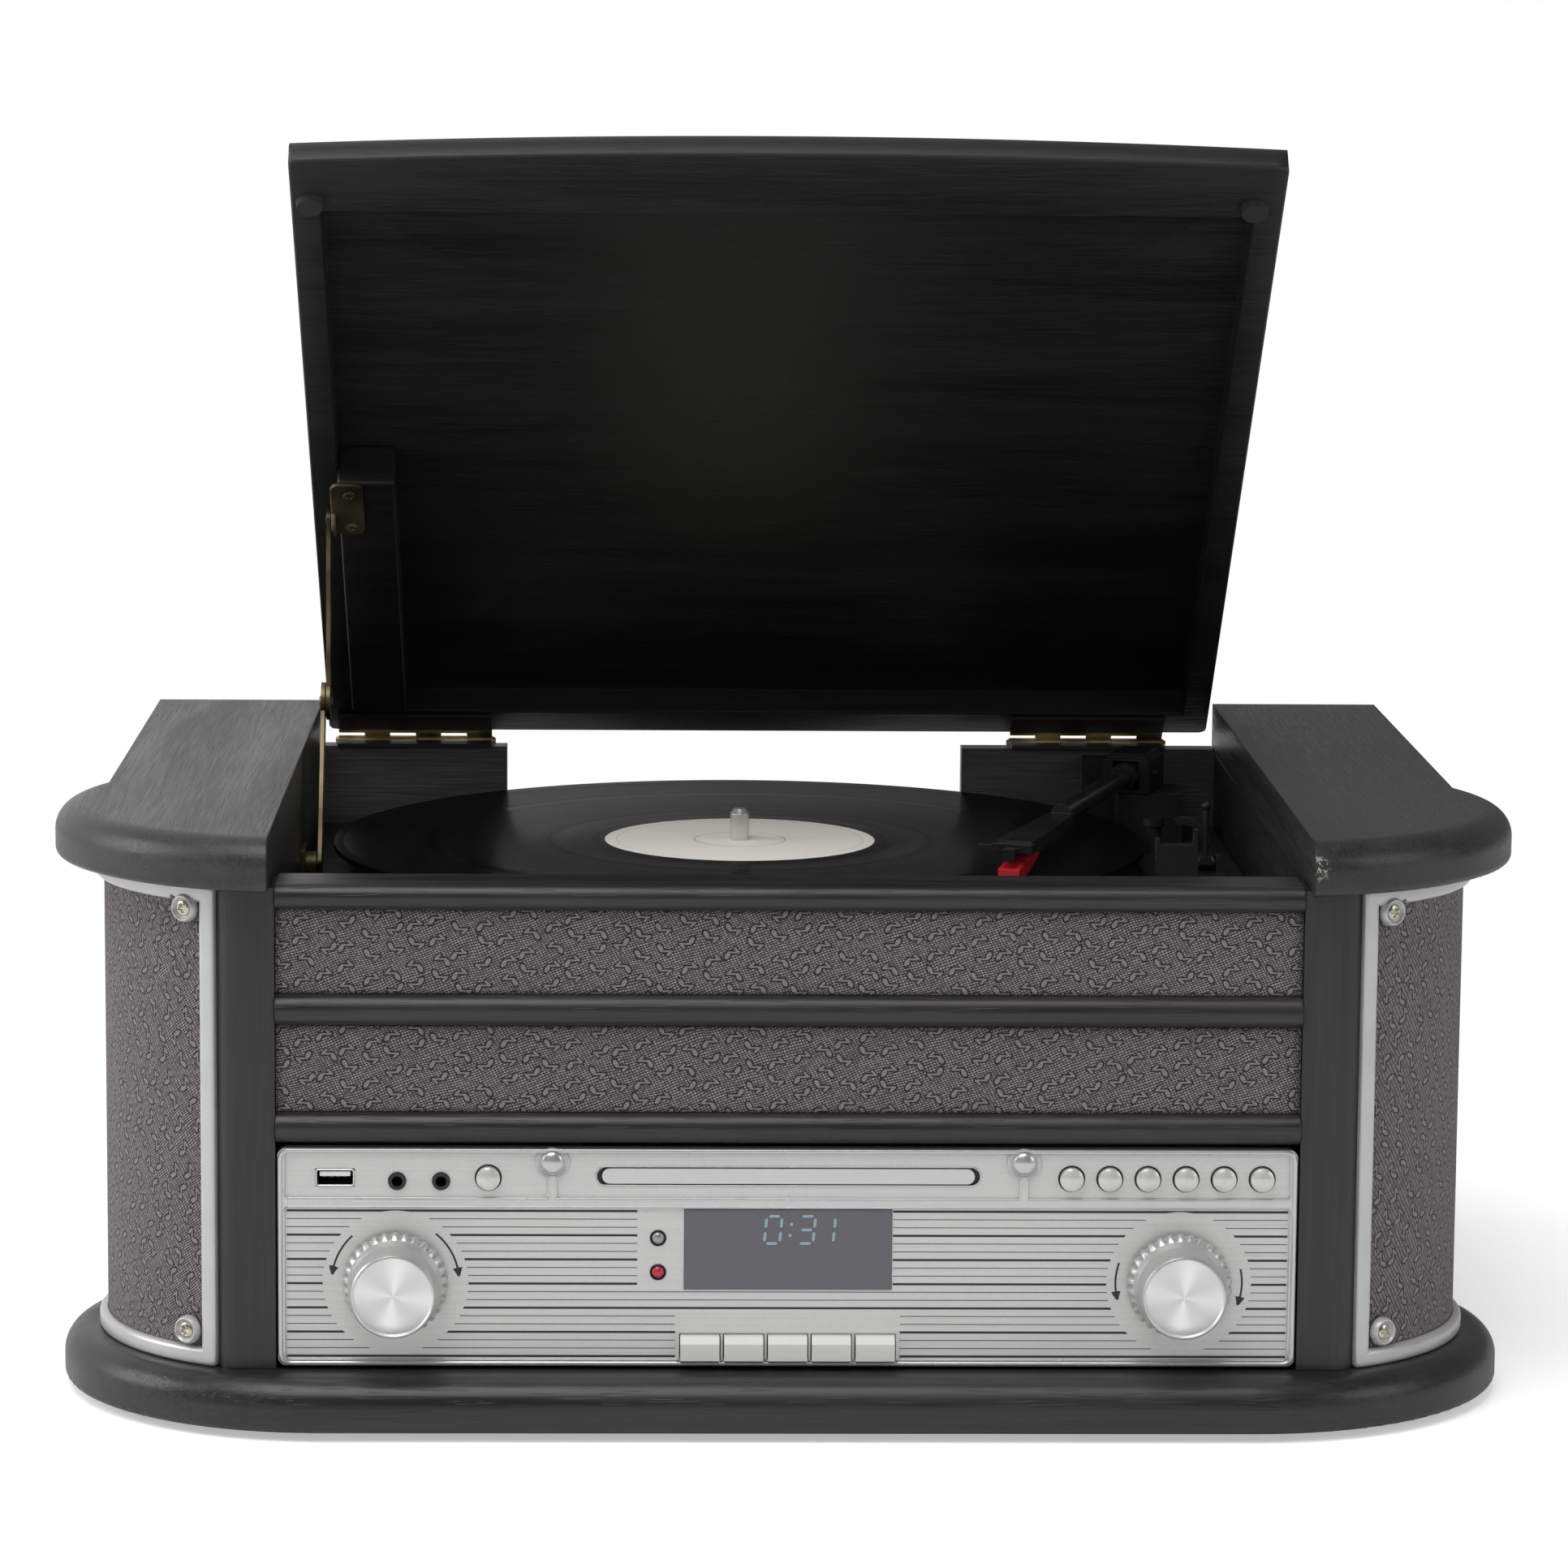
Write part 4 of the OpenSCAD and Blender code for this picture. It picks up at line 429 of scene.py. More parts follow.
def makeFascia(s):
    made, tree, shader, here = newMaterial("fasciaSilver", s["silver"], 0.34, metal=0.35)
    x, y, z = parts(here)
    brushed = use(tree, brushedGroup, Vector=here, Along=6.0, Across=2200.0)
    spots = use(tree, mottleGroup, Vector=here, Size=900.0)
    depth = (s["top"] - z) / s["pitch"]
    step = calc("ROUND", depth)
    off = abs(depth - step) * s["pitch"]
    third = abs(calc("FRACT", (step + 0.5) / 3.0) - 1 / 6) < 0.1
    # every third line is thick, and the lines stop at the knobs' rings, the display and the keys
    width = s["thin"] + third * (s["thick"] - s["thin"])
    lines = both(less(off, width, 0.00006), within(step, -0.5, s["count"] - 0.5, 0.01), less(abs(x), s["reach"]))
    arrows = None
    for side, spans in s["arcs"]:
        dx = x - side * cabinet["knobX"]
        dz = z - cabinet["knobZ"]
        far = distance(dx, dz)
        lines = both(lines, 1.0 - less(far, s["ring"]))
        for first, last in spans:
            middle, half = math.radians((first + last) / 2), math.radians(abs(last - first) / 2)
            # an arc arrow: a ring cut to its span of angles, which widens to a head near its last end
            ax, ay, _ = parts(turned(joined(dx, dz), (0, 0, -middle)))
            angle = calc("ARCTAN2", ay, ax)
            toEnd = half - angle * (1.0 if last > first else -1.0)
            wide = s["arrowW"] + both(less(toEnd, 0.14, 0.004), toEnd > 0.0) * (toEnd * 0.0095)
            one = both(less(abs(far - s["arrowR"]), wide, 0.00006), less(abs(angle), half, 0.003))
            arrows = one if arrows is None else either(arrows, one)
    blankTop = both(within(x, *s["displayX"]), less(step, 9.5, 0.01))
    blankLow = both(less(abs(x), s["keysX"]), step > 12.5)
    lines = both(lines, 1.0 - either(blankTop, blankLow))
    front = both(less(y, s["faceY"] + 0.0009, 0.0001), less(z, 0.0768))
    recessed = y > s["faceY"] + 0.0005
    ink = both(either(lines, arrows), front, recessed)
    silver = blendOf(brushed["Shade"], tinted(s["silver"], 0.93), s["silver"])
    silver = blendOf(ease(spots["Fine"], 0.45, 0.75) * 0.12, silver, (0.4, 0.4, 0.39))
    wire(blendOf(ink, silver, s["ink"]), shader["Base Color"])
    wire(ease(ink, 0.0, 1.0, 0.34, 0.5), shader["Roughness"])
    wire(ease(ink, 0.0, 1.0, 0.35, 0.0), shader["Metallic"])
    bump(tree, shader, brushed["Height"] + ink * 0.5, 0.00003, 0.5)
    return made


# black record: fine grooves, bands between tracks, cream label with a plain printed ring
discLook = dict(label=(0.95, 0.93, 0.85), fibre=(0.76, 0.73, 0.63), print=(0.2, 0.19, 0.17),
                vinyl=(0.005, 0.005, 0.0053), labelR=0.050, rings=((0.0455, 0.0458), (0.0165, 0.0172)),
                runOut=0.0585, lead=0.1465, groove=0.00042)


def makeVinyl(s):
    made, tree, shader, here = newMaterial("vinylRecord", s["vinyl"], 0.22, level=0.02)
    x, y, _ = parts(shifted(here, (-cabinet["spindle"][0], -cabinet["spindle"][1], 0)))
    far = distance(x, y)
    grooves = calc("SINE", far * (2 * math.pi / s["groove"]))
    bands = noise(joined(far * 160.0, 0.0), 1.0, 1.0)
    breaks = ease(noise(joined(far * 75.0, 3.0), 1.0, 0.0), 0.66, 0.7)
    track = both(less(far, s["lead"]), 1.0 - less(far, s["runOut"]), 1.0 - breaks)
    onLabel = less(far, s["labelR"], 0.0001)
    ring = either(*(within(far, low, high, 0.0001) for low, high in s["rings"]))
    paper = blendOf(noise(here, 1400.0, 2.0) * 0.10, s["label"], s["fibre"])
    paper = blendOf(ring * 0.45, paper, s["print"])
    wire(blendOf(onLabel, s["vinyl"], paper), shader["Base Color"])
    wire(0.17 + bands * 0.16 + onLabel * 0.35, shader["Roughness"])
    bump(tree, shader, (grooves + bands * 2.0) * track, 0.00002, 0.6)
    return made


# hinges: aged brass near the pin, the leaves painted over with the cabinet's black
hingeLook = dict(dull=(0.26, 0.21, 0.115), bright=(0.74, 0.61, 0.36), paint=(0.022, 0.021, 0.019), bareR=0.0050)


def makeHingeBrass(s):
    made, tree, shader, here = newMaterial("hingeBrass", (0.2, 0.17, 0.1), 0.42, metal=1.0)
    _, y, z = parts(shifted(here, (0, -cabinet["hingeY"], -cabinet["hingeZ"])))
    far = distance(y, z)
    spots = use(tree, mottleGroup, Vector=here, Size=900.0)
    tone = blendOf(ease(spots["Broad"], 0.35, 0.65), s["dull"], s["bright"])
    painted = 1.0 - less(far, s["bareR"], 0.0005)
    wire(blendOf(painted, tone, s["paint"]), shader["Base Color"])
    wire(1.0 - painted, shader["Metallic"])
    bump(tree, shader, spots["Fine"], 0.00006, 0.6)
    return made


# the object's finishes; Across, Deep and Up say which way the grain runs
paintAcross = makePaint("paintAcross")
paintDeep = makePaint("paintDeep", turn=(0, 0, math.pi / 2))
# the top boards: lift paints a sheen into the colour, lighter on the left board than on the right; the right board
# also has a worn corner of bare wood
paintTopSheen = makePaint("paintTopSheen", turn=(0, 0, math.pi / 2), rough=(0.30, 0.46), lift=1.3)
paintWornAndSheen = makePaint("paintWornAndSheen", turn=(0, 0, math.pi / 2), rough=(0.30, 0.46), lift=1.15,
                      chip=(0.1747, -0.183, 0.197))
# the rear panel: lift 3.2 paints light into the colour, a much lighter copy of the same paint
paintRearLit = makePaint("paintRearLit", lift=3.2)
paintUp = makePaint("paintUp", turn=(0, math.pi / 2, 0))
# the lid and its stay block: lift 0.42 paints shade into the colour, a darker copy of the same paint
paintLidShaded = makePaint("paintLidShaded", turn=(cabinet["lidAngle"], 0, 0), lift=0.42, rough=(0.42, 0.55))
clothSide = makeCloth("clothSide", 0.75, 0.00095, 0.0)
clothFront = makeCloth("clothFront", 0.35, 0.00088, math.pi / 2)
frameSilver = makePlain("frameSilver", (0.56, 0.56, 0.565), 0.36, metal=0.45, size=900.0, vary=0.05)
fasciaSilver = makeFascia(stripes)
knobSilver = makePlain("knobSilver", (0.66, 0.66, 0.655), 0.30, metal=0.55, size=90.0, vary=0.03, relief=0.0)
buttonSilver = makePlain("buttonSilver", (0.66, 0.655, 0.645), 0.26, metal=0.35, coat=0.3, size=90.0, vary=0.03,
                         relief=0.0)
keySilver = makePlain("keySilver", (0.66, 0.655, 0.645), 0.46, metal=0.1, size=90.0, vary=0.03, relief=0.0,
                      level=0.2)
traySilver = makePlain("traySilver", (0.64, 0.64, 0.635), 0.34, metal=0.3, size=60.0, vary=0.02, relief=0.0)
steel = makePlain("spindleSteel", (0.70, 0.69, 0.66), 0.22, metal=0.7, size=800.0, vary=0.05)
screwMetal = makePlain("screwMetal", (0.60, 0.57, 0.47), 0.25, metal=1.0, size=1500.0, vary=0.12)
trimSilver = makePlain("trimSilver", (0.60, 0.60, 0.60), 0.26, metal=0.7, size=120.0, vary=0.04, relief=0.0)
palePlastic = makePlain("palePlastic", (0.80, 0.79, 0.75), 0.4, size=500.0, vary=0.1)
clearLens = makePlain("clearLens", (0.34, 0.36, 0.35), 0.08, metal=0.4, coat=0.6, size=300.0, vary=0.2)
digitBlue = makePlain("digitBlue", (0.30, 0.40, 0.47), 0.4, size=200.0, vary=0.05)
knobSpun = [makeSpun("knobSpunLeft", -cabinet["knobX"]), makeSpun("knobSpunRight", cabinet["knobX"])]
brass = makePlain("agedBrass", (0.20, 0.165, 0.10), 0.42, metal=1.0, size=900.0, vary=0.6, relief=0.00009)
brassDull = makePlain("dullBrass", (0.13, 0.112, 0.065), 0.48, metal=0.9, size=700.0, vary=0.5, relief=0.00008)
armPlastic = makePlain("armPlastic", (0.016, 0.016, 0.0165), 0.26, size=700.0, vary=0.15, dust=0.5)
hingeBrass = makeHingeBrass(hingeLook)
blackPlastic = makePlain("blackPlastic", (0.018, 0.018, 0.0185), 0.42, size=900.0, vary=0.15, relief=0.00003,
                         dust=0.6)
deckPlastic = makePlain("deckPlastic", (0.012, 0.012, 0.0125), 0.5, size=1400.0, vary=0.15, relief=0.00006,
                        dust=0.5)
socketBlack = makePlain("socketBlack", (0.012, 0.012, 0.013), 0.35, size=700.0, vary=0.1)
rubber = makePlain("blackRubber", (0.02, 0.02, 0.02), 0.75, size=700.0, vary=0.2, relief=0.00006)
cartridgeRed = makePlain("cartridgeRed", (0.42, 0.012, 0.018), 0.35, size=500.0, vary=0.12)
displayGlass = makePlain("displayGlass", (0.115, 0.113, 0.128), 0.22, size=40.0, vary=0.04, relief=0.0)
redLens = makePlain("redLens", (0.42, 0.02, 0.05), 0.15, coat=0.5, size=300.0, vary=0.2)
boardGreen = makePlain("boardGreen", (0.02, 0.12, 0.05), 0.4, size=300.0, vary=0.3)
iron = makePlain("laminatedIron", (0.12, 0.115, 0.11), 0.5, metal=0.6, size=300.0, vary=0.3)
rawBoard = makePlain("rawBoard", (0.25, 0.17, 0.10), 0.7, size=300.0, vary=0.25)
vinyl = makeVinyl(discLook)

# what each piece is finished in; buttons and keys aren't listed and get their own silver
finishes = (
    (paintAcross, "base_board front_board front_rails"), (paintDeep, "side_walls well_walls"),
    (paintUp, "pillars"), (paintTopSheen, "top_board_left"), (paintWornAndSheen, "top_board_right"), (paintRearLit, "rear_panel"),
    (paintLidShaded, "lid"), (clothFront, "front_cloths"), (clothSide, "speaker_cloths"), (rawBoard, "speaker_baffles"),
    (frameSilver, "speaker_frames"), (screwMetal, "frame_screws"), (fasciaSilver, "fascia"),
    (displayGlass, "display_window"), (redLens, "indicator_lenses"), (traySilver, "cd_tray"), (vinyl, "record"),
    (socketBlack, "front_sockets rear_connectors"), (knobSilver, "volume_knob tuning_knob"),
    (steel, "platter turntable_motor volume_shaft tuning_shaft"), (deckPlastic, "turntable_deck"),
    (armPlastic, "arm_housing tonearm"), (cartridgeRed, "cartridge"), (rubber, "feet lid_bumpers"),
    (blackPlastic, "arm_base arm_rest cue_lever cd_mechanism speaker_drivers"),
    (hingeBrass, "hinge_leaves_lower hinge_leaves_upper"), (brassDull, "stay_lid_plate stay_wall_bracket"),
    (brass, "stay_upper_link stay_lower_link motor_pulley"), (boardGreen, "circuit_board"), (iron, "transformer"))
finishOf = {name: material for material, names in finishes for name in names.split()}


def dress(node, material):
    if not node.data.materials:
        node.data.materials.append(material)
    for slot in node.material_slots:
        slot.material = material


for name, node in nodes.items():
    plain = keySilver if name.startswith("key_") else buttonSilver
    dress(node, finishOf.get(name, plain))
print("stage: CAD pieces dressed")


# surfaces: every one is points = function of two parameters on a grid, joined into a closed skin
def addMesh(name, points, faces, material, body="cabinet", uv=None, smooth=True):
    mesh = bpy.data.meshes.new(name)
    mesh.from_pydata(np.asarray(points).reshape(-1, 3).tolist(), [], faces)
    if uv is not None:
        layer = mesh.uv_layers.new(name="UVMap")
        corners = np.empty(len(mesh.loops), dtype=np.int32)
        mesh.loops.foreach_get("vertex_index", corners)
        layer.data.foreach_set("uv", np.asarray(uv).reshape(-1, 2)[corners].ravel())
    mesh.polygons.foreach_set("use_smooth", [smooth] * len(mesh.polygons))
    mesh.materials.append(material)
    made = bpy.data.objects.new(name, mesh)
    scene.collection.objects.link(made)
    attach(made, body)
    return made


# loops: (n, m, 3), n closed rings of m points; the first and last ring are closed by a cap or joined together
def skin(name, loops, material, body="cabinet", ring=False, smooth=True, sharp=35.0):
    loops = np.asarray(loops, float)
    n, m = loops.shape[:2]
    index = np.arange(n * m).reshape(n, m)
    rows = np.vstack([index, index[:1]]) if ring else index
    caps = [] if ring else [index[0][::-1], index[-1]]
    a, b = rows[:-1], rows[1:]
    quads = np.stack([a, np.roll(a, -1, 1), np.roll(b, -1, 1), b], -1).reshape(-1, 4)
    faces = quads.tolist() + [cap.tolist() for cap in caps]
    # six times the volume enclosed, a sum of triple products, tells whether the faces look outwards
    flat = loops.reshape(-1, 3) - loops.reshape(-1, 3).mean(0)
    p, q, r, s = (flat[quads[:, k]] for k in range(4))
    volume = (np.cross(p, q) * r).sum() + (np.cross(p, r) * s).sum()
    for c in (flat[cap] for cap in caps):
        volume += (np.cross(c[0], c[1:-1]) * c[2:]).sum()
    if volume < 0:
        faces = [face[::-1] for face in faces]
    made = addMesh(name, loops, faces, material, body, smooth=smooth)
    if smooth:
        # edges sharper than this angle stay sharp in the shading
        made.data.set_sharp_from_angle(angle=math.radians(sharp))
    return made


# profile (k, 2) of radius and distance along the axis, turned round the axis through place
def revolve(name, profile, place, axis, material, body="cabinet", steps=64, sharp=35.0):
    profile = np.asarray(profile, float)
    along = Vector(axis).normalized()
    side = along.orthogonal().normalized()
    up = along.cross(side)
    theta = np.linspace(0, 2 * np.pi, steps, endpoint=False)
    circle = np.cos(theta)[:, None] * np.array(side) + np.sin(theta)[:, None] * np.array(up)
    loops = (np.array(place) + profile[:, 0][:, None, None] * circle[None]
             + profile[:, 1][:, None, None] * np.array(along))
    return skin(name, loops, material, body, sharp=sharp)


# tube of the given radius along a path; a closed path joins its ends
def tube(name, path, radius, material, body="cabinet", closed=False, steps=8):
    path = np.asarray(path, float)
    ahead = np.roll(path, -1, 0) - np.roll(path, 1, 0)
    if not closed:
        ahead[0], ahead[-1] = path[1] - path[0], path[-1] - path[-2]
    ahead /= np.linalg.norm(ahead, axis=1)[:, None]
    normal = np.array([0, -1.0, 0])
    side = np.cross(ahead, normal)
    side /= np.maximum(np.linalg.norm(side, axis=1)[:, None], 1e-9)
    normal = np.cross(side, ahead)
    theta = np.linspace(0, 2 * np.pi, steps, endpoint=False)
    loops = path[:, None] + radius * (np.cos(theta)[None, :, None] * side[:, None]
                                      + np.sin(theta)[None, :, None] * normal[:, None])
    return skin(name, loops, material, body, ring=closed)


# rectangle with round corners as a loop of (x, z) points: anticlockwise from the right end of the lower side
def roundRect(x0, x1, z0, z1, r, steps=8):
    turn = np.linspace(0, np.pi / 2, steps)
    loop = []
    for k, (x, z) in enumerate(((x1 - r, z0 + r), (x1 - r, z1 - r), (x0 + r, z1 - r), (x0 + r, z0 + r))):
        angle = turn + (k - 1) * np.pi / 2
        loop.append(np.stack([x + r * np.cos(angle), z + r * np.sin(angle)], -1))
    return np.concatenate(loop)


# the same line with its points at even distances: length along it, cut into equal steps
def even(loop, spacing, closed=True):
    loop = np.asarray(loop, float)
    if closed:
        loop = np.vstack([loop, loop[:1]])
    gone = np.concatenate([[0], np.cumsum(np.linalg.norm(np.diff(loop, axis=0), axis=1))])
    wanted = np.linspace(0, gone[-1], max(int(gone[-1] / spacing), 8) + 1)
    spread = np.stack([np.interp(wanted, gone, loop[:, k]) for k in range(loop.shape[1])], -1)
    return spread[:-1] if closed else spread


def circle(x, z, r, steps=40):
    angle = np.linspace(0, 2 * np.pi, steps, endpoint=False)
    return np.stack([x + r * np.cos(angle), z + r * np.sin(angle)], -1)


# a loop of (x, z) points stood upright at the depth y, as everything on the front is drawn
def facade(loop, y):
    return np.stack([loop[:, 0], np.full(len(loop), y), loop[:, 1]], -1)


# profile of a low dome, radius r * sin(t) and height foot + rise * cos(t), on a stub of the given radius
def dome(r, foot, rise, steps, stub, deep):
    t = np.linspace(0, np.pi / 2, steps)
    top = np.stack([np.maximum(r * np.sin(t), 1e-5), foot + rise * np.cos(t)], -1)
    return np.vstack([top, [[stub, -deep], [1e-5, -deep]]])


def bead(name, loop, y, radius, material, steps=8):
    return tube(name, facade(loop, y), radius, material, closed=True, steps=steps)


# block with rounded edges: rings are rounded rectangles that shrink towards both ends
def softBlock(name, low, high, r, material, body="cabinet"):
    (x0, y0, z0), (x1, y1, z1) = low, high
    phi = np.linspace(0, np.pi / 2, 5)
    inset = np.concatenate([r * (1 - np.sin(phi)), (r * (1 - np.sin(phi)))[::-1]])
    depth = np.concatenate([y0 + r * (1 - np.cos(phi)), (y1 - r * (1 - np.cos(phi)))[::-1]])
    loops = [facade(roundRect(x0 + i, x1 - i, z0 + i, z1 - i, max(r * 1.05 - i, r * 0.05), 4), y)
             for i, y in zip(inset, depth)]
    return skin(name, loops, material, body)


# speaker cloth: thin sheets, radius 77.9 mm round the corner's centre, and flat strips in front
clothSize = dict(radius=0.0779, low=0.0215, high=0.1857, first=-1.150, last=0.445, thick=0.0009)


# a grid of points as a cloth with its own flat map, thickened and stretched over a board
def makeSheet(name, points, uv, material, thick, flip=False):
    index = np.arange(points[..., 0].size).reshape(points.shape[:2])
    quads = np.stack([index[:-1, :-1], index[:-1, 1:], index[1:, 1:], index[1:, :-1]], -1).reshape(-1, 4)
    if flip:
        quads = quads[:, ::-1]
    made = addMesh(name, points, quads.tolist(), material, uv=uv)
    made.modifiers.new("Thickness", "SOLIDIFY").thickness = thick
    return made


# x = corner + radius * cos(a), y = corner + radius * sin(a), for the angle a and the level z
def makeCornerCloth(name, side, s):
    a, z = np.meshgrid(np.linspace(s["first"], s["last"], 81), np.linspace(s["low"], s["high"], 41))
    x = side * (cabinet["lobeX"] + s["radius"] * np.cos(a))
    y = cabinet["lobeY"] + s["radius"] * np.sin(a)
    return makeSheet(name, np.stack([x, y, z], -1), np.stack([side * s["radius"] * a, z], -1), clothSide,
                     s["thick"],
                     flip=side < 0)


def makeStripCloth(name, low, high):
    x, z = np.meshgrid(np.linspace(low[0], high[0], 121), np.linspace(low[2], high[2], 21))
    return makeSheet(name, np.stack([x, np.full_like(x, low[1]), z], -1), np.stack([x, z], -1), clothFront,
                     stripSize["thick"])


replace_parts(makeCornerCloth("cornerClothLeft", -1, clothSize), "speaker_cloths")
makeCornerCloth("cornerClothRight", 1, clothSize)

stripSize = dict(upper=0.0285, lower=0.0293, thick=0.001)
low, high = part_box("front_cloths")
stripUpper = makeStripCloth("clothStripUpper", (low[0], low[1], high[2] - stripSize["upper"]), high)
makeStripCloth("clothStripLower", low, (high[0], high[1], low[2] + stripSize["lower"]))
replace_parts(stripUpper, "front_cloths")
print("stage: cloth")


# speaker frames: bar profile swept between an outer rectangle and an inner one with two bosses
frameSize = dict(radius=0.0802, depth=0.0021, bar=0.006, low=0.021, high=0.1862, first=-1.1145, last=0.4345,
                 bossLow=0.0327, bossHigh=0.1780, bossAngle=-0.9708, bossR=0.0070, ringR=0.0041, proud=0.0006)


# the outward direction at an angle round a speaker corner, and the place at a radius and level there
def cornerSpot(side, angle, radius, level):
    out = np.array([side * math.cos(angle), math.sin(angle), 0.0])
    return np.array([side * cabinet["lobeX"], cabinet["lobeY"], level]) + out * radius, out


def makeSpeakerFrame(name, side, s):
    # across the bar: how far in from the outer edge (0 to 1) and how far proud of the cloth (0 to 1)
    across = np.array([[0.0, -0.3], [0.0, 0.45], [0.04, 0.78], [0.12, 0.97], [0.22, 1.0], [0.72, 1.0],
                       [0.84, 0.92], [0.94, 0.66], [1.0, 0.3], [1.0, -0.3]])
    u0, u1 = s["radius"] * s["first"], s["radius"] * s["last"]
    outer = even(roundRect(u0, u1, s["low"], s["high"], 0.0012), 0.001)
    centre = np.array([(u0 + u1) / 2, (s["low"] + s["high"]) / 2])
    inner = np.clip(outer, [u0 + s["bar"], s["low"] + s["bar"]], [u1 - s["bar"], s["high"] - s["bar"]])
    for level in (s["bossLow"], s["bossHigh"]):
        boss = np.array([s["radius"] * s["bossAngle"], level])
        away = inner - boss
        far = np.linalg.norm(away, axis=1)[:, None]
        inward = centre - boss
        heading = away / np.maximum(far, 1e-6)
        heading = np.where(far < 1e-4, inward / np.linalg.norm(inward), heading)
        # boundary points under the boss move out to its circle on the window's side
        push = (far < s["bossR"]) & ((inner - outer) @ inward > -1)[:, None]
        target = boss + s["bossR"] * heading
        inner = np.where(push & (((target - inner) @ inward)[:, None] > 0), target, inner)
    flat = outer[None] + across[:, 0][:, None, None] * (inner - outer)[None]
    proud = s["radius"] + (across[:, 1][:, None] - 1.0) * s["depth"] + s["proud"]
    angle = flat[..., 0] / s["radius"]
    loops = np.stack([side * (cabinet["lobeX"] + proud * np.cos(angle)), cabinet["lobeY"] + proud * np.sin(angle),
                      flat[..., 1]], -1)
    made = skin(name, loops, frameSilver, "cabinet", ring=True, sharp=50.0)
    for tag, level in (("Low", s["bossLow"]), ("High", s["bossHigh"])):
        place, out = cornerSpot(side, s["bossAngle"], s["radius"] - 0.001, level)
        r = s["ringR"]
        dish = [[1e-5, 0.0016], [r * 0.62, 0.0016], [r * 0.80, 0.0019], [r * 0.88, 0.0026], [r * 0.95, 0.0029],
                [r * 1.04, 0.0028], [r * 1.12, 0.0022], [r * 1.2, 0.0012], [r * 1.2, 0.0], [1e-5, 0.0]]
        revolve(name + "Ring" + tag, dish, place, out, frameSilver)
    return made


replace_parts(makeSpeakerFrame("speakerFrameLeft", -1, frameSize), "speaker_frames")
makeSpeakerFrame("speakerFrameRight", 1, frameSize)


# pan-head screws: low dome with a cross cut as a dip in height
screwSize = dict(r=0.0028, rise=0.0013, arm=0.00042, reach=0.0017, dip=0.0008, softArm=0.00006, softEnd=0.00008)


def makeScrew(name, place, out, s, turn=0.4, metal=screwMetal, body="cabinet"):
    rings = np.linspace(0.02, 1.0, 22)
    theta = np.linspace(0, 2 * np.pi, 72, endpoint=False)
    rr, tt = np.meshgrid(rings, theta, indexing="ij")
    x, y = s["r"] * rr * np.cos(tt), s["r"] * rr * np.sin(tt)
    # height = dome minus the cross: nearer than arm to either axis and shorter than reach
    rise = s["rise"] * np.sqrt(np.maximum(1 - (rr * 0.93) ** 2, 0))
    near = np.minimum(np.abs(x), np.abs(y))
    cross = (1 / (1 + np.exp((near - s["arm"]) / s["softArm"]))
             / (1 + np.exp((rr * s["r"] - s["reach"]) / s["softEnd"])))
    h = rise - s["dip"] * cross
    along = Vector(out).normalized()
    side = Matrix.Rotation(turn, 3, along) @ Vector((0, 0, 1)).cross(along).normalized()
    up = along.cross(side)
    loops = (np.array(place) + x[..., None] * np.array(side) + y[..., None] * np.array(up)
             + h[..., None] * np.array(along))
    foot = loops[-1] - np.array(along) * (h[-1][:, None] + 0.0004)
    made = skin(name, np.concatenate([loops, foot[None]]), metal, body, sharp=60.0)
    return made


for side, tag in ((-1, "Left"), (1, "Right")):
    for end in ("Low", "High"):
        place, out = cornerSpot(side, frameSize["bossAngle"], frameSize["radius"] + frameSize["proud"],
                                frameSize["boss" + end])
        screw = makeScrew("frameScrew" + tag + end, place, out, screwSize, turn=0.35 + 0.5 * (side + 1))
        if tag == "Left" and end == "Low":
            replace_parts(screw, "frame_screws")
print("stage: speaker frames")


# fascia trim: round beads on the plate's rim and round each panel, and two studs in collars
fasciaTrim = dict(face=-0.1670, rimR=0.0009, beadR=0.00042, fieldHalf=0.1702, fieldLow=0.0242, fieldTop=0.0771,
                  stripLow=0.0800, stripTop=0.0962, studX=0.0797, studZ=0.0926, studR=0.0041, collar=0.0054,
                  gap=0.0012, inset=0.0008, proud=0.0002, collarOut=0.0007, collarR=0.0004)


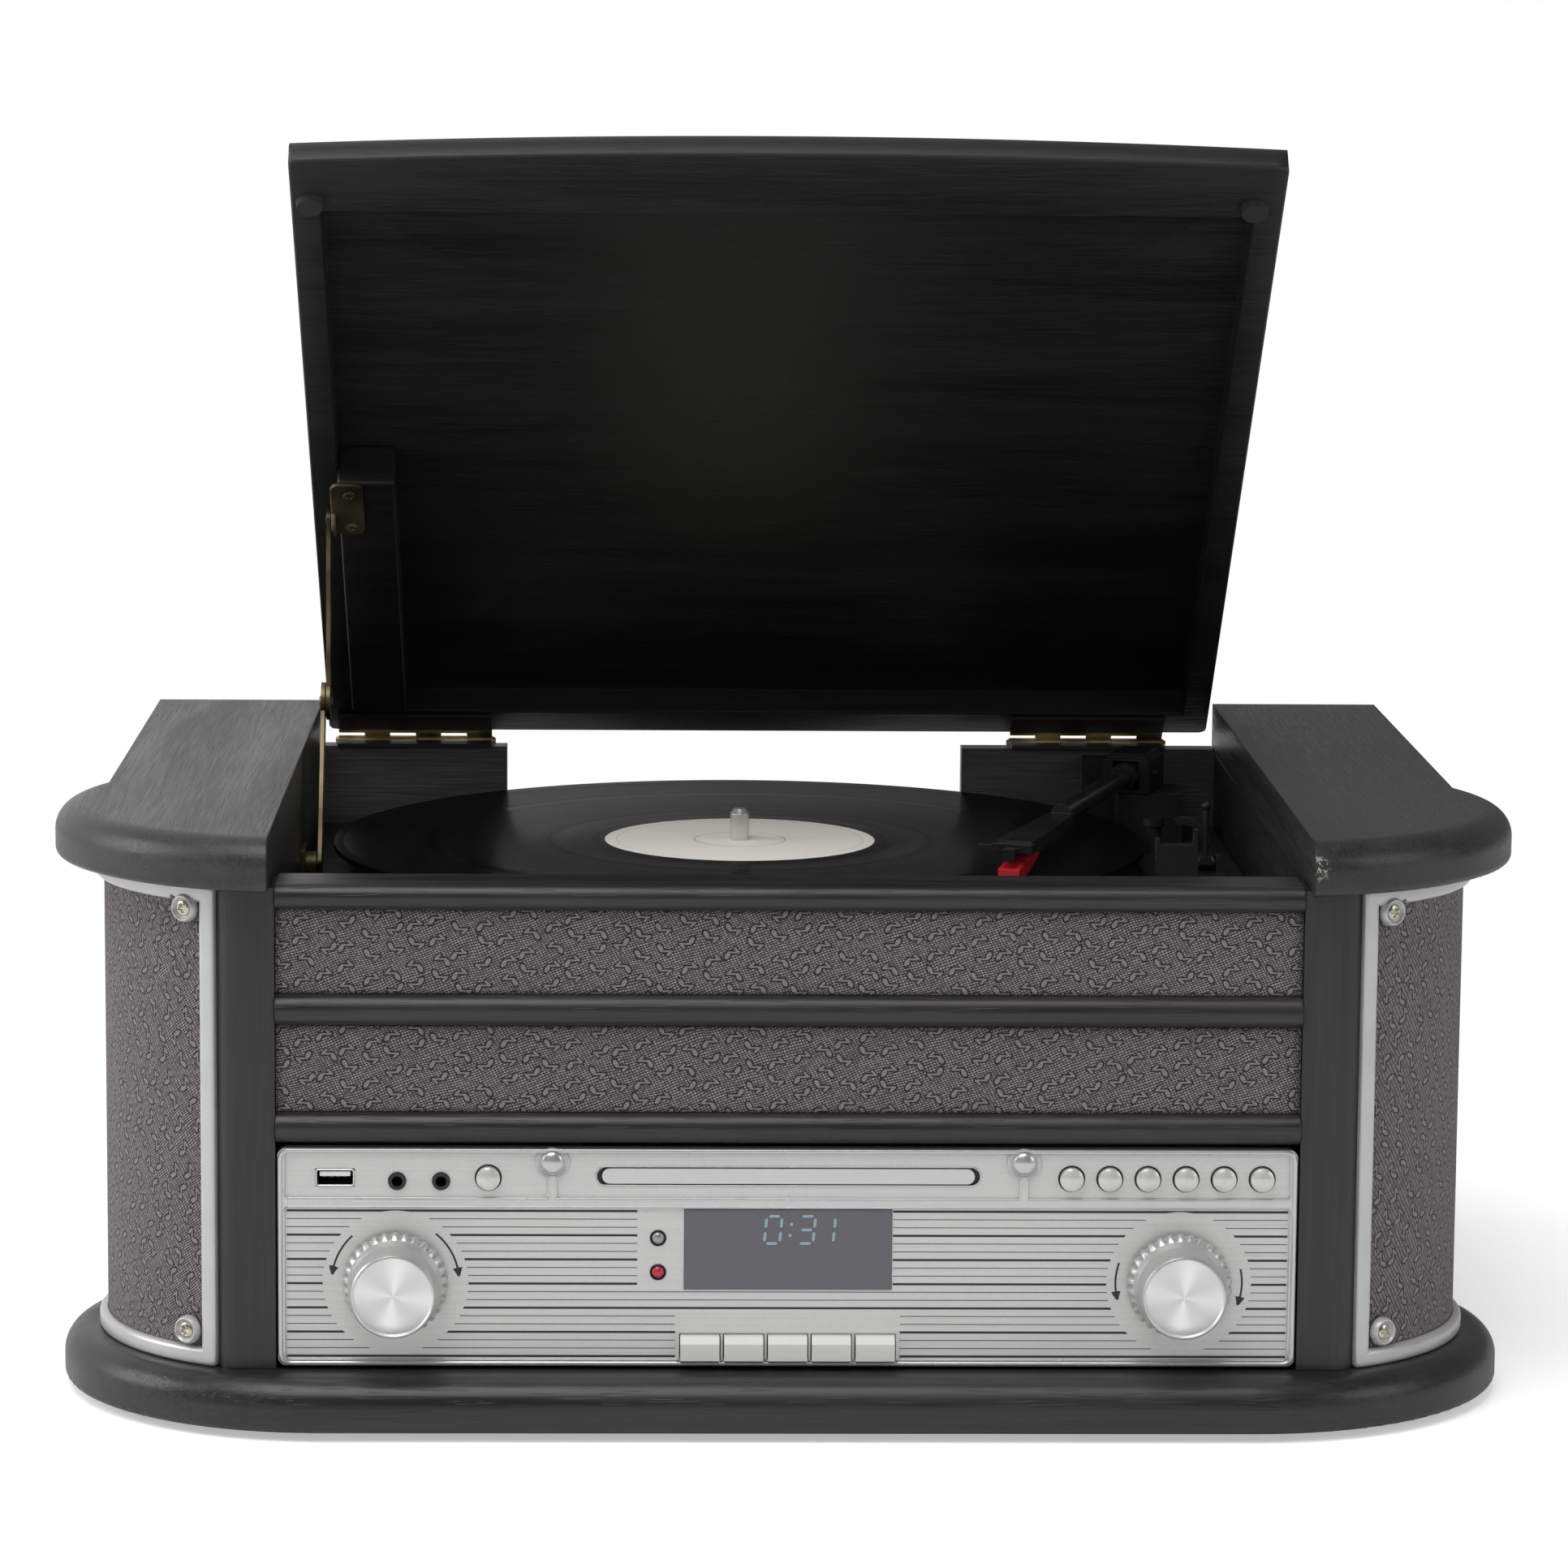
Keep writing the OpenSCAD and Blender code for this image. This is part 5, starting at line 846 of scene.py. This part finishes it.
def makeFasciaTrim(s):
    wide, inset, y = s["fieldHalf"], s["inset"], s["face"] + s["proud"]
    half, foot, top = cabinet["fasciaHalf"] - inset, cabinet["fasciaZ"], cabinet["fasciaZ"] + cabinet["fasciaH"]
    rim = roundRect(-half, half, foot + inset, top - inset, 0.0026)
    bead("fasciaRim", even(rim, 0.002), y, s["rimR"], trimSilver, steps=12)
    field = roundRect(-wide, wide, s["fieldLow"], s["fieldTop"], 0.0014)
    bead("fieldBead", even(field, 0.002), y, s["beadR"], trimSilver)
    # the collar's circle starts where it meets the foot's half gap and ends where it meets the strip's top
    drop = math.sqrt(s["collar"] ** 2 - s["gap"] ** 2)
    rise = s["stripTop"] - s["studZ"]
    down, up = math.atan2(drop, s["gap"]), math.atan2(rise, math.sqrt(s["collar"] ** 2 - rise ** 2))
    bend = np.linspace(-math.pi / 2 - (math.pi / 2 - down), -math.pi - up, 20)
    left = np.stack([-s["studX"] + s["collar"] * np.cos(bend), s["studZ"] + s["collar"] * np.sin(bend)], -1)
    right = np.stack([-s["studX"] - (left[:, 0] + s["studX"]), left[:, 1]], -1)
    outerPanel = np.vstack([[-wide + 0.001, s["stripLow"]], [-s["studX"] - s["gap"], s["stripLow"]], left,
                            [-wide + 0.001, s["stripTop"]], [-wide, s["stripTop"] - 0.001],
                            [-wide, s["stripLow"] + 0.001]])
    middle = np.vstack([[-s["studX"] + s["gap"], s["stripLow"]], right, (right * [-1, 1])[::-1],
                        [s["studX"] - s["gap"], s["stripLow"]]])
    for tag, loop in (("Left", outerPanel), ("Right", outerPanel * [-1, 1]), ("Middle", middle)):
        bead("panelBead" + tag, even(loop, 0.0008), y, s["beadR"], trimSilver)
    for side, tag in ((-1, "Left"), (1, "Right")):
        r, x = s["studR"], side * s["studX"]
        profile = dome(r, 0.0004, 0.0022, 12, r + 0.0001, 0.0008)
        revolve("stud" + tag, profile, (x, s["face"], s["studZ"]), (0, -1, 0), trimSilver)
        bead("studCollar" + tag, circle(x, s["studZ"], r + s["collarOut"], 48), s["face"] + s["proud"] / 2,
             s["collarR"], trimSilver)


makeFasciaTrim(fasciaTrim)


# thin dark rings where the buttons' bores and the disc tray's slot open
ringSize = dict(y=-0.1662, z=0.0871, first=0.0958, pitch=0.01292, function=-0.1014, r=0.00445, wire=0.00018,
                slotZ=0.0878, slotHalf=0.0650, slotH=0.0066, trayHalf=0.0630, trayH=0.0052, gap=0.00022,
                lipR=0.00032)


def makeDarkRings(s):
    places = [s["function"]] + [s["first"] + k * s["pitch"] for k in range(6)]
    for number, x in enumerate(places):
        # painted shade: a thin dark wire in the gap round each button
        bead("buttonGapShade%d" % (number + 1), circle(x, s["z"], s["r"]), s["y"], s["wire"], socketBlack)
    z, half, high, gap = s["slotZ"], s["slotHalf"], s["slotH"] / 2, s["gap"]
    outer = roundRect(-half, half, z - high, z + high, high, 16)
    half, high = s["trayHalf"] + gap, s["trayH"] / 2
    inner = roundRect(-half, half, z - high - gap, z + high + gap, high + gap, 16)
    # painted shade: a dark sheet in the gap round the disc tray, behind the fascia's face
    back, front = s["y"] + 0.0013, s["y"] + 0.0013 - 0.0002
    loops = [facade(outer, back), facade(outer, front), facade(inner, front), facade(inner, back)]
    skin("slotShade", loops, socketBlack, ring=True)
    bead("slotLip", even(outer, 0.0008), s["y"] - 0.0001, s["lipR"], trimSilver)


makeDarkRings(ringSize)


# knobs: r(angle, s) = profile radius less a scallop that fades up the skirt; the cap's face is dished
knobSize = dict(flutes=30, scallop=0.0016, skirtR=0.0178, capR=0.0145, length=0.0220, bore=0.00305)


def makeKnob(name, x, node, body, s):
    skirt, cap, long = s["skirtR"], s["capR"], s["length"]
    # radius, distance in front of the fascia and share of the scallop's depth
    profile = np.array([
        [s["bore"], 0.0011, 0], [skirt - 0.0010, 0.0011, 0], [skirt - 0.0002, 0.0014, 0.6], [skirt, 0.0020, 1],
        [skirt, 0.0036, 1], [skirt - 0.0001, 0.0044, 1], [skirt - 0.0004, 0.0049, 0.9],
        [skirt - 0.0009, 0.0055, 0.55], [skirt - 0.0014, 0.0060, 0.2], [skirt - 0.0019, 0.0064, 0],
        [cap + 0.0008, 0.0080, 0], [cap + 0.0002, 0.0086, 0], [cap, 0.0092, 0], [cap, 0.0120, 0],
        [cap, 0.0160, 0], [cap, long - 0.0016, 0], [cap - 0.0002, long - 0.0009, 0],
        [cap - 0.0007, long - 0.0003, 0], [cap - 0.0011, long - 0.0002, 0], [cap - 0.0014, long - 0.0005, 0],
        [cap - 0.0016, long - 0.0009, 0], [cap - 0.0019, long - 0.0010, 0], [cap * 0.6, long - 0.00115, 0],
        [cap * 0.3, long - 0.0012, 0], [0.00001, long - 0.0012, 0]])
    radial, front, share = profile.T[:, :, None]
    theta = np.linspace(0, 2 * np.pi, 360, endpoint=False)
    radius = radial - s["scallop"] * share * np.abs(np.cos(s["flutes"] / 2 * theta)) ** 5
    loops = np.stack([x + radius * np.cos(theta), np.broadcast_to(cabinet["frontY"] - front, radius.shape),
                      cabinet["knobZ"] + radius * np.sin(theta)], -1)
    made = skin(name, loops, knobSpun[x > 0], body, sharp=28.0)
    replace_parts(made, node)


makeKnob("volumeKnob", -cabinet["knobX"], "volume_knob", "volume_cap", knobSize)
makeKnob("tuningKnob", cabinet["knobX"], "tuning_knob", "tuning_cap", knobSize)
print("stage: fascia trim and knobs")


# small fascia pieces: lamp, sensor, memory-stick socket, digits
def makeLens(name, place, material, r=0.0021):
    lens = revolve(name, dome(r, 0.0001, 0.0013, 10, r, 0.001), place, (0, -1, 0), material, steps=32)
    profile = ((0.0001, -0.0006), (0.00015, 0.0003), (0.0004, 0.0005), (0.0007, 0.0003), (0.0008, -0.0006))
    loops = [facade(circle(place[0], place[2], r + more), place[1] - out) for more, out in profile]
    skin(name + "Ring", loops, socketBlack, ring=True)
    return lens


lampSize = dict(x=-0.0440, y=-0.1662, lower=0.0546, upper=0.0664)
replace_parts(makeLens("powerLamp", (lampSize["x"], lampSize["y"], lampSize["lower"]), redLens), "indicator_lenses")
makeLens("sensorLens", (lampSize["x"], lampSize["y"], lampSize["upper"]), clearLens)

usbSize = dict(x=-0.153, z=0.0871, w=0.0132, h=0.006, y=-0.1664, wall=0.0011)


def makeUsb(s):
    x, y, z, w, h, wall = (s[k] for k in ("x", "y", "z", "w", "h", "wall"))
    outer = even(roundRect(x - w / 2, x + w / 2, z - h / 2, z + h / 2, 0.0006), 0.0006)
    centre = np.array([x, z])
    inner = centre + (outer - centre) * np.array([(w - wall) / w, (h - wall) / h])
    loops = [facade(outer, y + 0.003), facade(outer, y - 0.0002), facade((outer + inner) / 2, y - 0.0004),
             facade(inner, y - 0.0002), facade(inner, y + 0.003)]
    skin("usbShell", loops, steel, ring=True)
    softBlock("usbTongue", (x - 0.0052, y + 0.0002, z + 0.0004), (x + 0.0052, y + 0.006, z + 0.0021), 0.0002,
              palePlastic)
    for k in range(4):
        left = x - 0.0041 + 0.0023 * k
        softBlock("usbContact%d" % (k + 1), (left, y + 0.0004, z + 0.0001),
                  (left + 0.0012, y + 0.006, z + 0.0005), 0.00005, brass)


makeUsb(usbSize)

# seven-part digits: each stroke a flat lozenge bar, leaning a little; numbers of the time counter
digitSize = dict(z=0.0647, height=0.0094, width=0.0052, stroke=0.00105, lean=0.09, face=-0.16668, thick=0.00006,
                 left={"0": -0.0081, "3": 0.0032, "1": 0.0100}, dots=(0.30, 0.70), dotX=0.0001, dotLean=0.0005,
                 dotW=0.0011, dotH=0.0006)
strokesOf = {"0": "abcdef", "3": "abgcd", "1": "bc"}


def makeStroke(name, loop, s):
    skin(name, [facade(loop, s["face"]), facade(loop, s["face"] - s["thick"])], digitBlue, smooth=False)


def makeDigits(s):
    h, w, t = s["height"] / 2, s["width"], s["stroke"] / 2
    ends = {"a": ((0, 2 * h), (w, 2 * h)), "b": ((w, 2 * h), (w, h)), "c": ((w, h), (w, 0)),
            "d": ((0, 0), (w, 0)), "e": ((0, h), (0, 0)), "f": ((0, 2 * h), (0, h)), "g": ((0, h), (w, h))}
    for name, left in s["left"].items():
        for part in strokesOf[name]:
            a, b = (np.array(p) for p in ends[part])
            run = (b - a) / np.linalg.norm(b - a)
            across = np.array([-run[1], run[0]])
            a, b = a + run * t * 1.1, b - run * t * 1.1
            loop = np.array([a, a + (run + across) * t, b + (across - run) * t, b, b - (run + across) * t,
                             a + (run - across) * t])
            loop[:, 0] += left + s["lean"] * loop[:, 1]
            loop[:, 1] += s["z"]
            makeStroke("digit%s%s" % (name, part.upper()), loop, s)
    for k, level in enumerate(s["dots"]):
        x, z = s["dotX"] + s["dotLean"] * k, s["z"] + s["height"] * level
        dot = roundRect(x, x + s["dotW"], z - s["dotH"], z + s["dotH"], 0.0002, 3)
        makeStroke("digitDot%d" % (k + 1), dot, s)


makeDigits(digitSize)
print("stage: small fascia pieces")


# lid: rings of one closed skin, from the middle of its top over the rounded edges to the recess
lidSize = dict(half=0.1724, rear=-0.0033, front=-0.3532, bow=0.0055, low=0.0026, top=0.0171, nose=0.0118,
               edge=0.0012, lowEdge=0.0007, corner=0.0022, recess=0.0110, side=0.0100, rearRim=0.0132,
               recessFront=-0.3207)
blockSize = dict(x=(-0.1624, -0.1415), y=(-0.173, -0.0256), z=(-0.0038, 0.0136), soft=0.0007, corner=0.0009)


# y and z drawn with the lid flat, turned up round the hinge pin to where it stands open
def hinged(points):
    points = np.asarray(points, float)
    c, s = math.cos(cabinet["lidAngle"]), math.sin(cabinet["lidAngle"])
    y, z = points[..., 1], points[..., 2]
    return np.stack([points[..., 0], cabinet["hingeY"] + y * c + z * s, cabinet["hingeZ"] - y * s + z * c], -1)


def atLevel(loop, z):
    return np.concatenate([loop, np.full((len(loop), 1), z)], 1)


# how far a rounded edge of this radius has moved in at this distance from the face
def roundedIn(radius, drop):
    return radius - math.sqrt(max(radius * radius - max(radius - drop, 0.0) ** 2, 0.0))


def makeLid(s):
    half, rear, front, low, top = s["half"], s["rear"], s["front"], s["low"], s["top"]
    outline = even(roundRect(-half, half, front, rear, s["corner"], 6), 0.0022)
    # the front edge is an arc: its corners lie bow behind its middle
    share = np.clip((rear - outline[:, 1]) / (rear - front), 0, 1)
    outline[:, 1] += s["bow"] * (outline[:, 0] / half) ** 2 * share ** 8
    inner = np.clip(outline, [-half + s["side"], s["recessFront"]], [half - s["side"], rear - s["rearRim"]])
    middle = np.array([0.0, (front + rear) / 2])

    # horizontal slices: the sides move in by the small edge radius, the front by the large one
    def sliceAt(z, side, ahead):
        shrunk = middle + (outline - middle) * ((half - side) / half)
        line = front + ahead + s["bow"] * (shrunk[:, 0] / half) ** 2
        return atLevel(np.stack([shrunk[:, 0], np.maximum(shrunk[:, 1], line)], -1), z)

    rings = [atLevel(middle + (outline - middle) * k, top) for k in (0.001, 0.5)]
    rings.append(sliceAt(top, s["edge"] + 0.0008, s["nose"] + 0.0008))
    for drop in (0.0, 0.0001, 0.0003, 0.0006, 0.001, 0.0015, 0.0025, 0.004, 0.006, 0.008, 0.010, s["nose"]):
        rings.append(sliceAt(top - drop, roundedIn(s["edge"], drop), roundedIn(s["nose"], drop)))
    for drop in (s["lowEdge"], 0.0004, 0.0001, 0.0):
        rings.append(sliceAt(low + drop, roundedIn(s["lowEdge"], drop), roundedIn(s["lowEdge"], drop)))
    toCentre = middle - inner
    toCentre /= np.abs(toCentre).max(1)[:, None]
    floor = low + s["recess"]
    rings += [atLevel(inner - toCentre * 0.0005, low), atLevel(inner, low + 0.0005),
              atLevel(inner, floor - 0.0002), atLevel(inner + toCentre * 0.0004, floor),
              atLevel(middle + (inner - middle) * 0.5, floor), atLevel(middle + (inner - middle) * 0.001, floor)]
    made = skin("lidBoard", hinged(rings), paintLidShaded, "lid_unit", sharp=40.0)
    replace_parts(made, "lid")


def makeStayBlock(s):
    (x0, x1), (y0, y1), (z0, z1), soft = s["x"], s["y"], s["z"], s["soft"]
    loops = [facade(roundRect(x0 + k, x1 - k, z0 + k, z1 - k, s["corner"], 4), y)
             for k, y in ((soft, y0), (0.0, y0 + soft), (0.0, y1 - soft), (soft, y1))]
    skin("stayBlock", hinged(loops), paintLidShaded, "lid_unit")


makeLid(lidSize)
makeStayBlock(blockSize)


# plate of the lid stay: rounded, with two screws, and the ear and pin that carry the upper link
plateSize = dict(x=(-0.1651, -0.1531), y=(-0.173, -0.143), z=(-0.0053, -0.0038), corner=0.0035, soft=0.0004,
                 pivot=(-0.150, -0.004), earR=0.006, earT=0.0015, pinR=0.0015, pinFrom=-0.1675,
                 screwX=-0.1581, screwY=(-0.167, -0.1475))


def makeStayPlate(s):
    (x0, x1), (y0, y1), (z0, z1), soft = s["x"], s["y"], s["z"], s["soft"]
    loops = [atLevel(roundRect(x0 + k, x1 - k, y0 + k, y1 - k, s["corner"] - k), z)
             for k, z in ((0.0, z1), (0.0, z0 + soft), (soft * 0.3, z0 + soft * 0.3), (soft, z0))]
    plate = skin("stayPlate", hinged(loops), brassDull, "lid_unit")
    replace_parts(plate, "stay_lid_plate")
    pivot = hinged([0.0, *s["pivot"]])
    r, t = s["earR"], s["earT"]
    ear = [[1e-5, 0], [r - 0.0003, 0], [r, 0.0003], [r, t - 0.0003], [r - 0.0003, t], [1e-5, t]]
    revolve("stayEar", ear, (x0, pivot[1], pivot[2]), (1, 0, 0), brassDull, "lid_unit", steps=40)
    long = x0 - s["pinFrom"] + 0.0001
    pin = [[1e-5, 0], [s["pinR"], 0], [s["pinR"], long], [1e-5, long]]
    revolve("stayPin", pin, (s["pinFrom"], pivot[1], pivot[2]), (1, 0, 0), brass, "lid_unit", steps=24)
    head = dict(screwSize, r=0.0023, rise=0.0010, reach=0.0014, arm=0.00035, dip=0.0006)
    for number, y in enumerate(s["screwY"]):
        place = hinged([s["screwX"], y, z0])
        out = hinged([s["screwX"], y, z0 - 1.0]) - place
        makeScrew("stayScrew%d" % (number + 1), place, out, head, 0.3 + number, brassDull, "lid_unit")


makeStayPlate(plateSize)
print("stage: lid")


# light, floor and backdrop
studio = dict(key=dict(at=(-0.6, -1.2, 2.6), size=2.0, watts=46),
              left=dict(at=(-2.6, -0.1, 1.2), size=1.6, watts=30),
              right=dict(at=(2.4, -1.2, 1.2), size=1.4, watts=12), world=0.36)


def makeLamp(name, lamp, aim=(0, 0, 0.15)):
    data = bpy.data.lights.new(name, "AREA")
    data.shape, data.size, data.energy = "SQUARE", lamp["size"], lamp["watts"]
    made = bpy.data.objects.new(name, data)
    made.location = lamp["at"]
    made.rotation_euler = (Vector(aim) - Vector(lamp["at"])).to_track_quat("-Z", "Y").to_euler()
    scene.collection.objects.link(made)


for lampName in ("key", "left", "right"):
    makeLamp("lamp_" + lampName, studio[lampName])


def makeWorld(level):
    world = bpy.data.worlds.new("paleWorld")
    scene.world = world
    world.use_nodes = True
    tree = world.node_tree
    tree.nodes.clear()
    seen = calc("MAXIMUM", ray(tree, "Camera"), ray(tree, "Transmission"))
    # mirror-like reflections see a bright backdrop behind the object and a darker room in front of it
    aim = parts(give(tree, "ShaderNodeTexCoord", "Generated"))
    side = ease(aim[0], -0.12, 0.10, 0.80, 0.18)
    back = side * ease(aim[1], -0.25, 0.75, 0.22, 1.0)
    plain = level + ray(tree, "Glossy") * (back - level)
    glow = give(tree, "ShaderNodeBackground", in_Color=(1, 1, 1), in_Strength=plain + seen * (1.0 - plain))
    put(tree, "ShaderNodeOutputWorld", at0=glow)


makeWorld(studio["world"])


# white floor: lit paper plus a little light of its own for the camera, all white further away
paperLook = dict(colour=(0.93, 0.93, 0.93), lift=0.42, near=0.42, far=0.95, half=6.0)


def makeFloor(s):
    made, tree, shader, here = newMaterial("paleFloor", s["colour"], 0.8, level=0.0)
    x, y, _ = parts(here)
    paper = shaderValue(tree, shader["Base Color"].node.outputs[0])
    glow = give(tree, "ShaderNodeEmission", in_Strength=s["lift"] * ray(tree, "Camera"))
    white = give(tree, "ShaderNodeEmission", in_Strength=1.0)
    lit = give(tree, "ShaderNodeAddShader", at0=paper, at1=glow)
    away = both(ray(tree, "Camera"), ease(distance(x, y), s["near"], s["far"]))
    mixed = give(tree, "ShaderNodeMixShader", at0=away, at1=lit, at2=white)
    wire(mixed, tree.nodes["Material Output"].inputs[0])
    mesh = bpy.data.meshes.new("paleFloor")
    half = s["half"]
    mesh.from_pydata([(-half, -half, 0), (half, -half, 0), (half, half, 0), (-half, half, 0)], [], [(0, 1, 2, 3)])
    floor = bpy.data.objects.new("paleFloor", mesh)
    scene.collection.objects.link(floor)
    mesh.materials.append(made)


makeFloor(paperLook)
scene.view_settings.view_transform = "Standard"
print("stage: light and floor set")
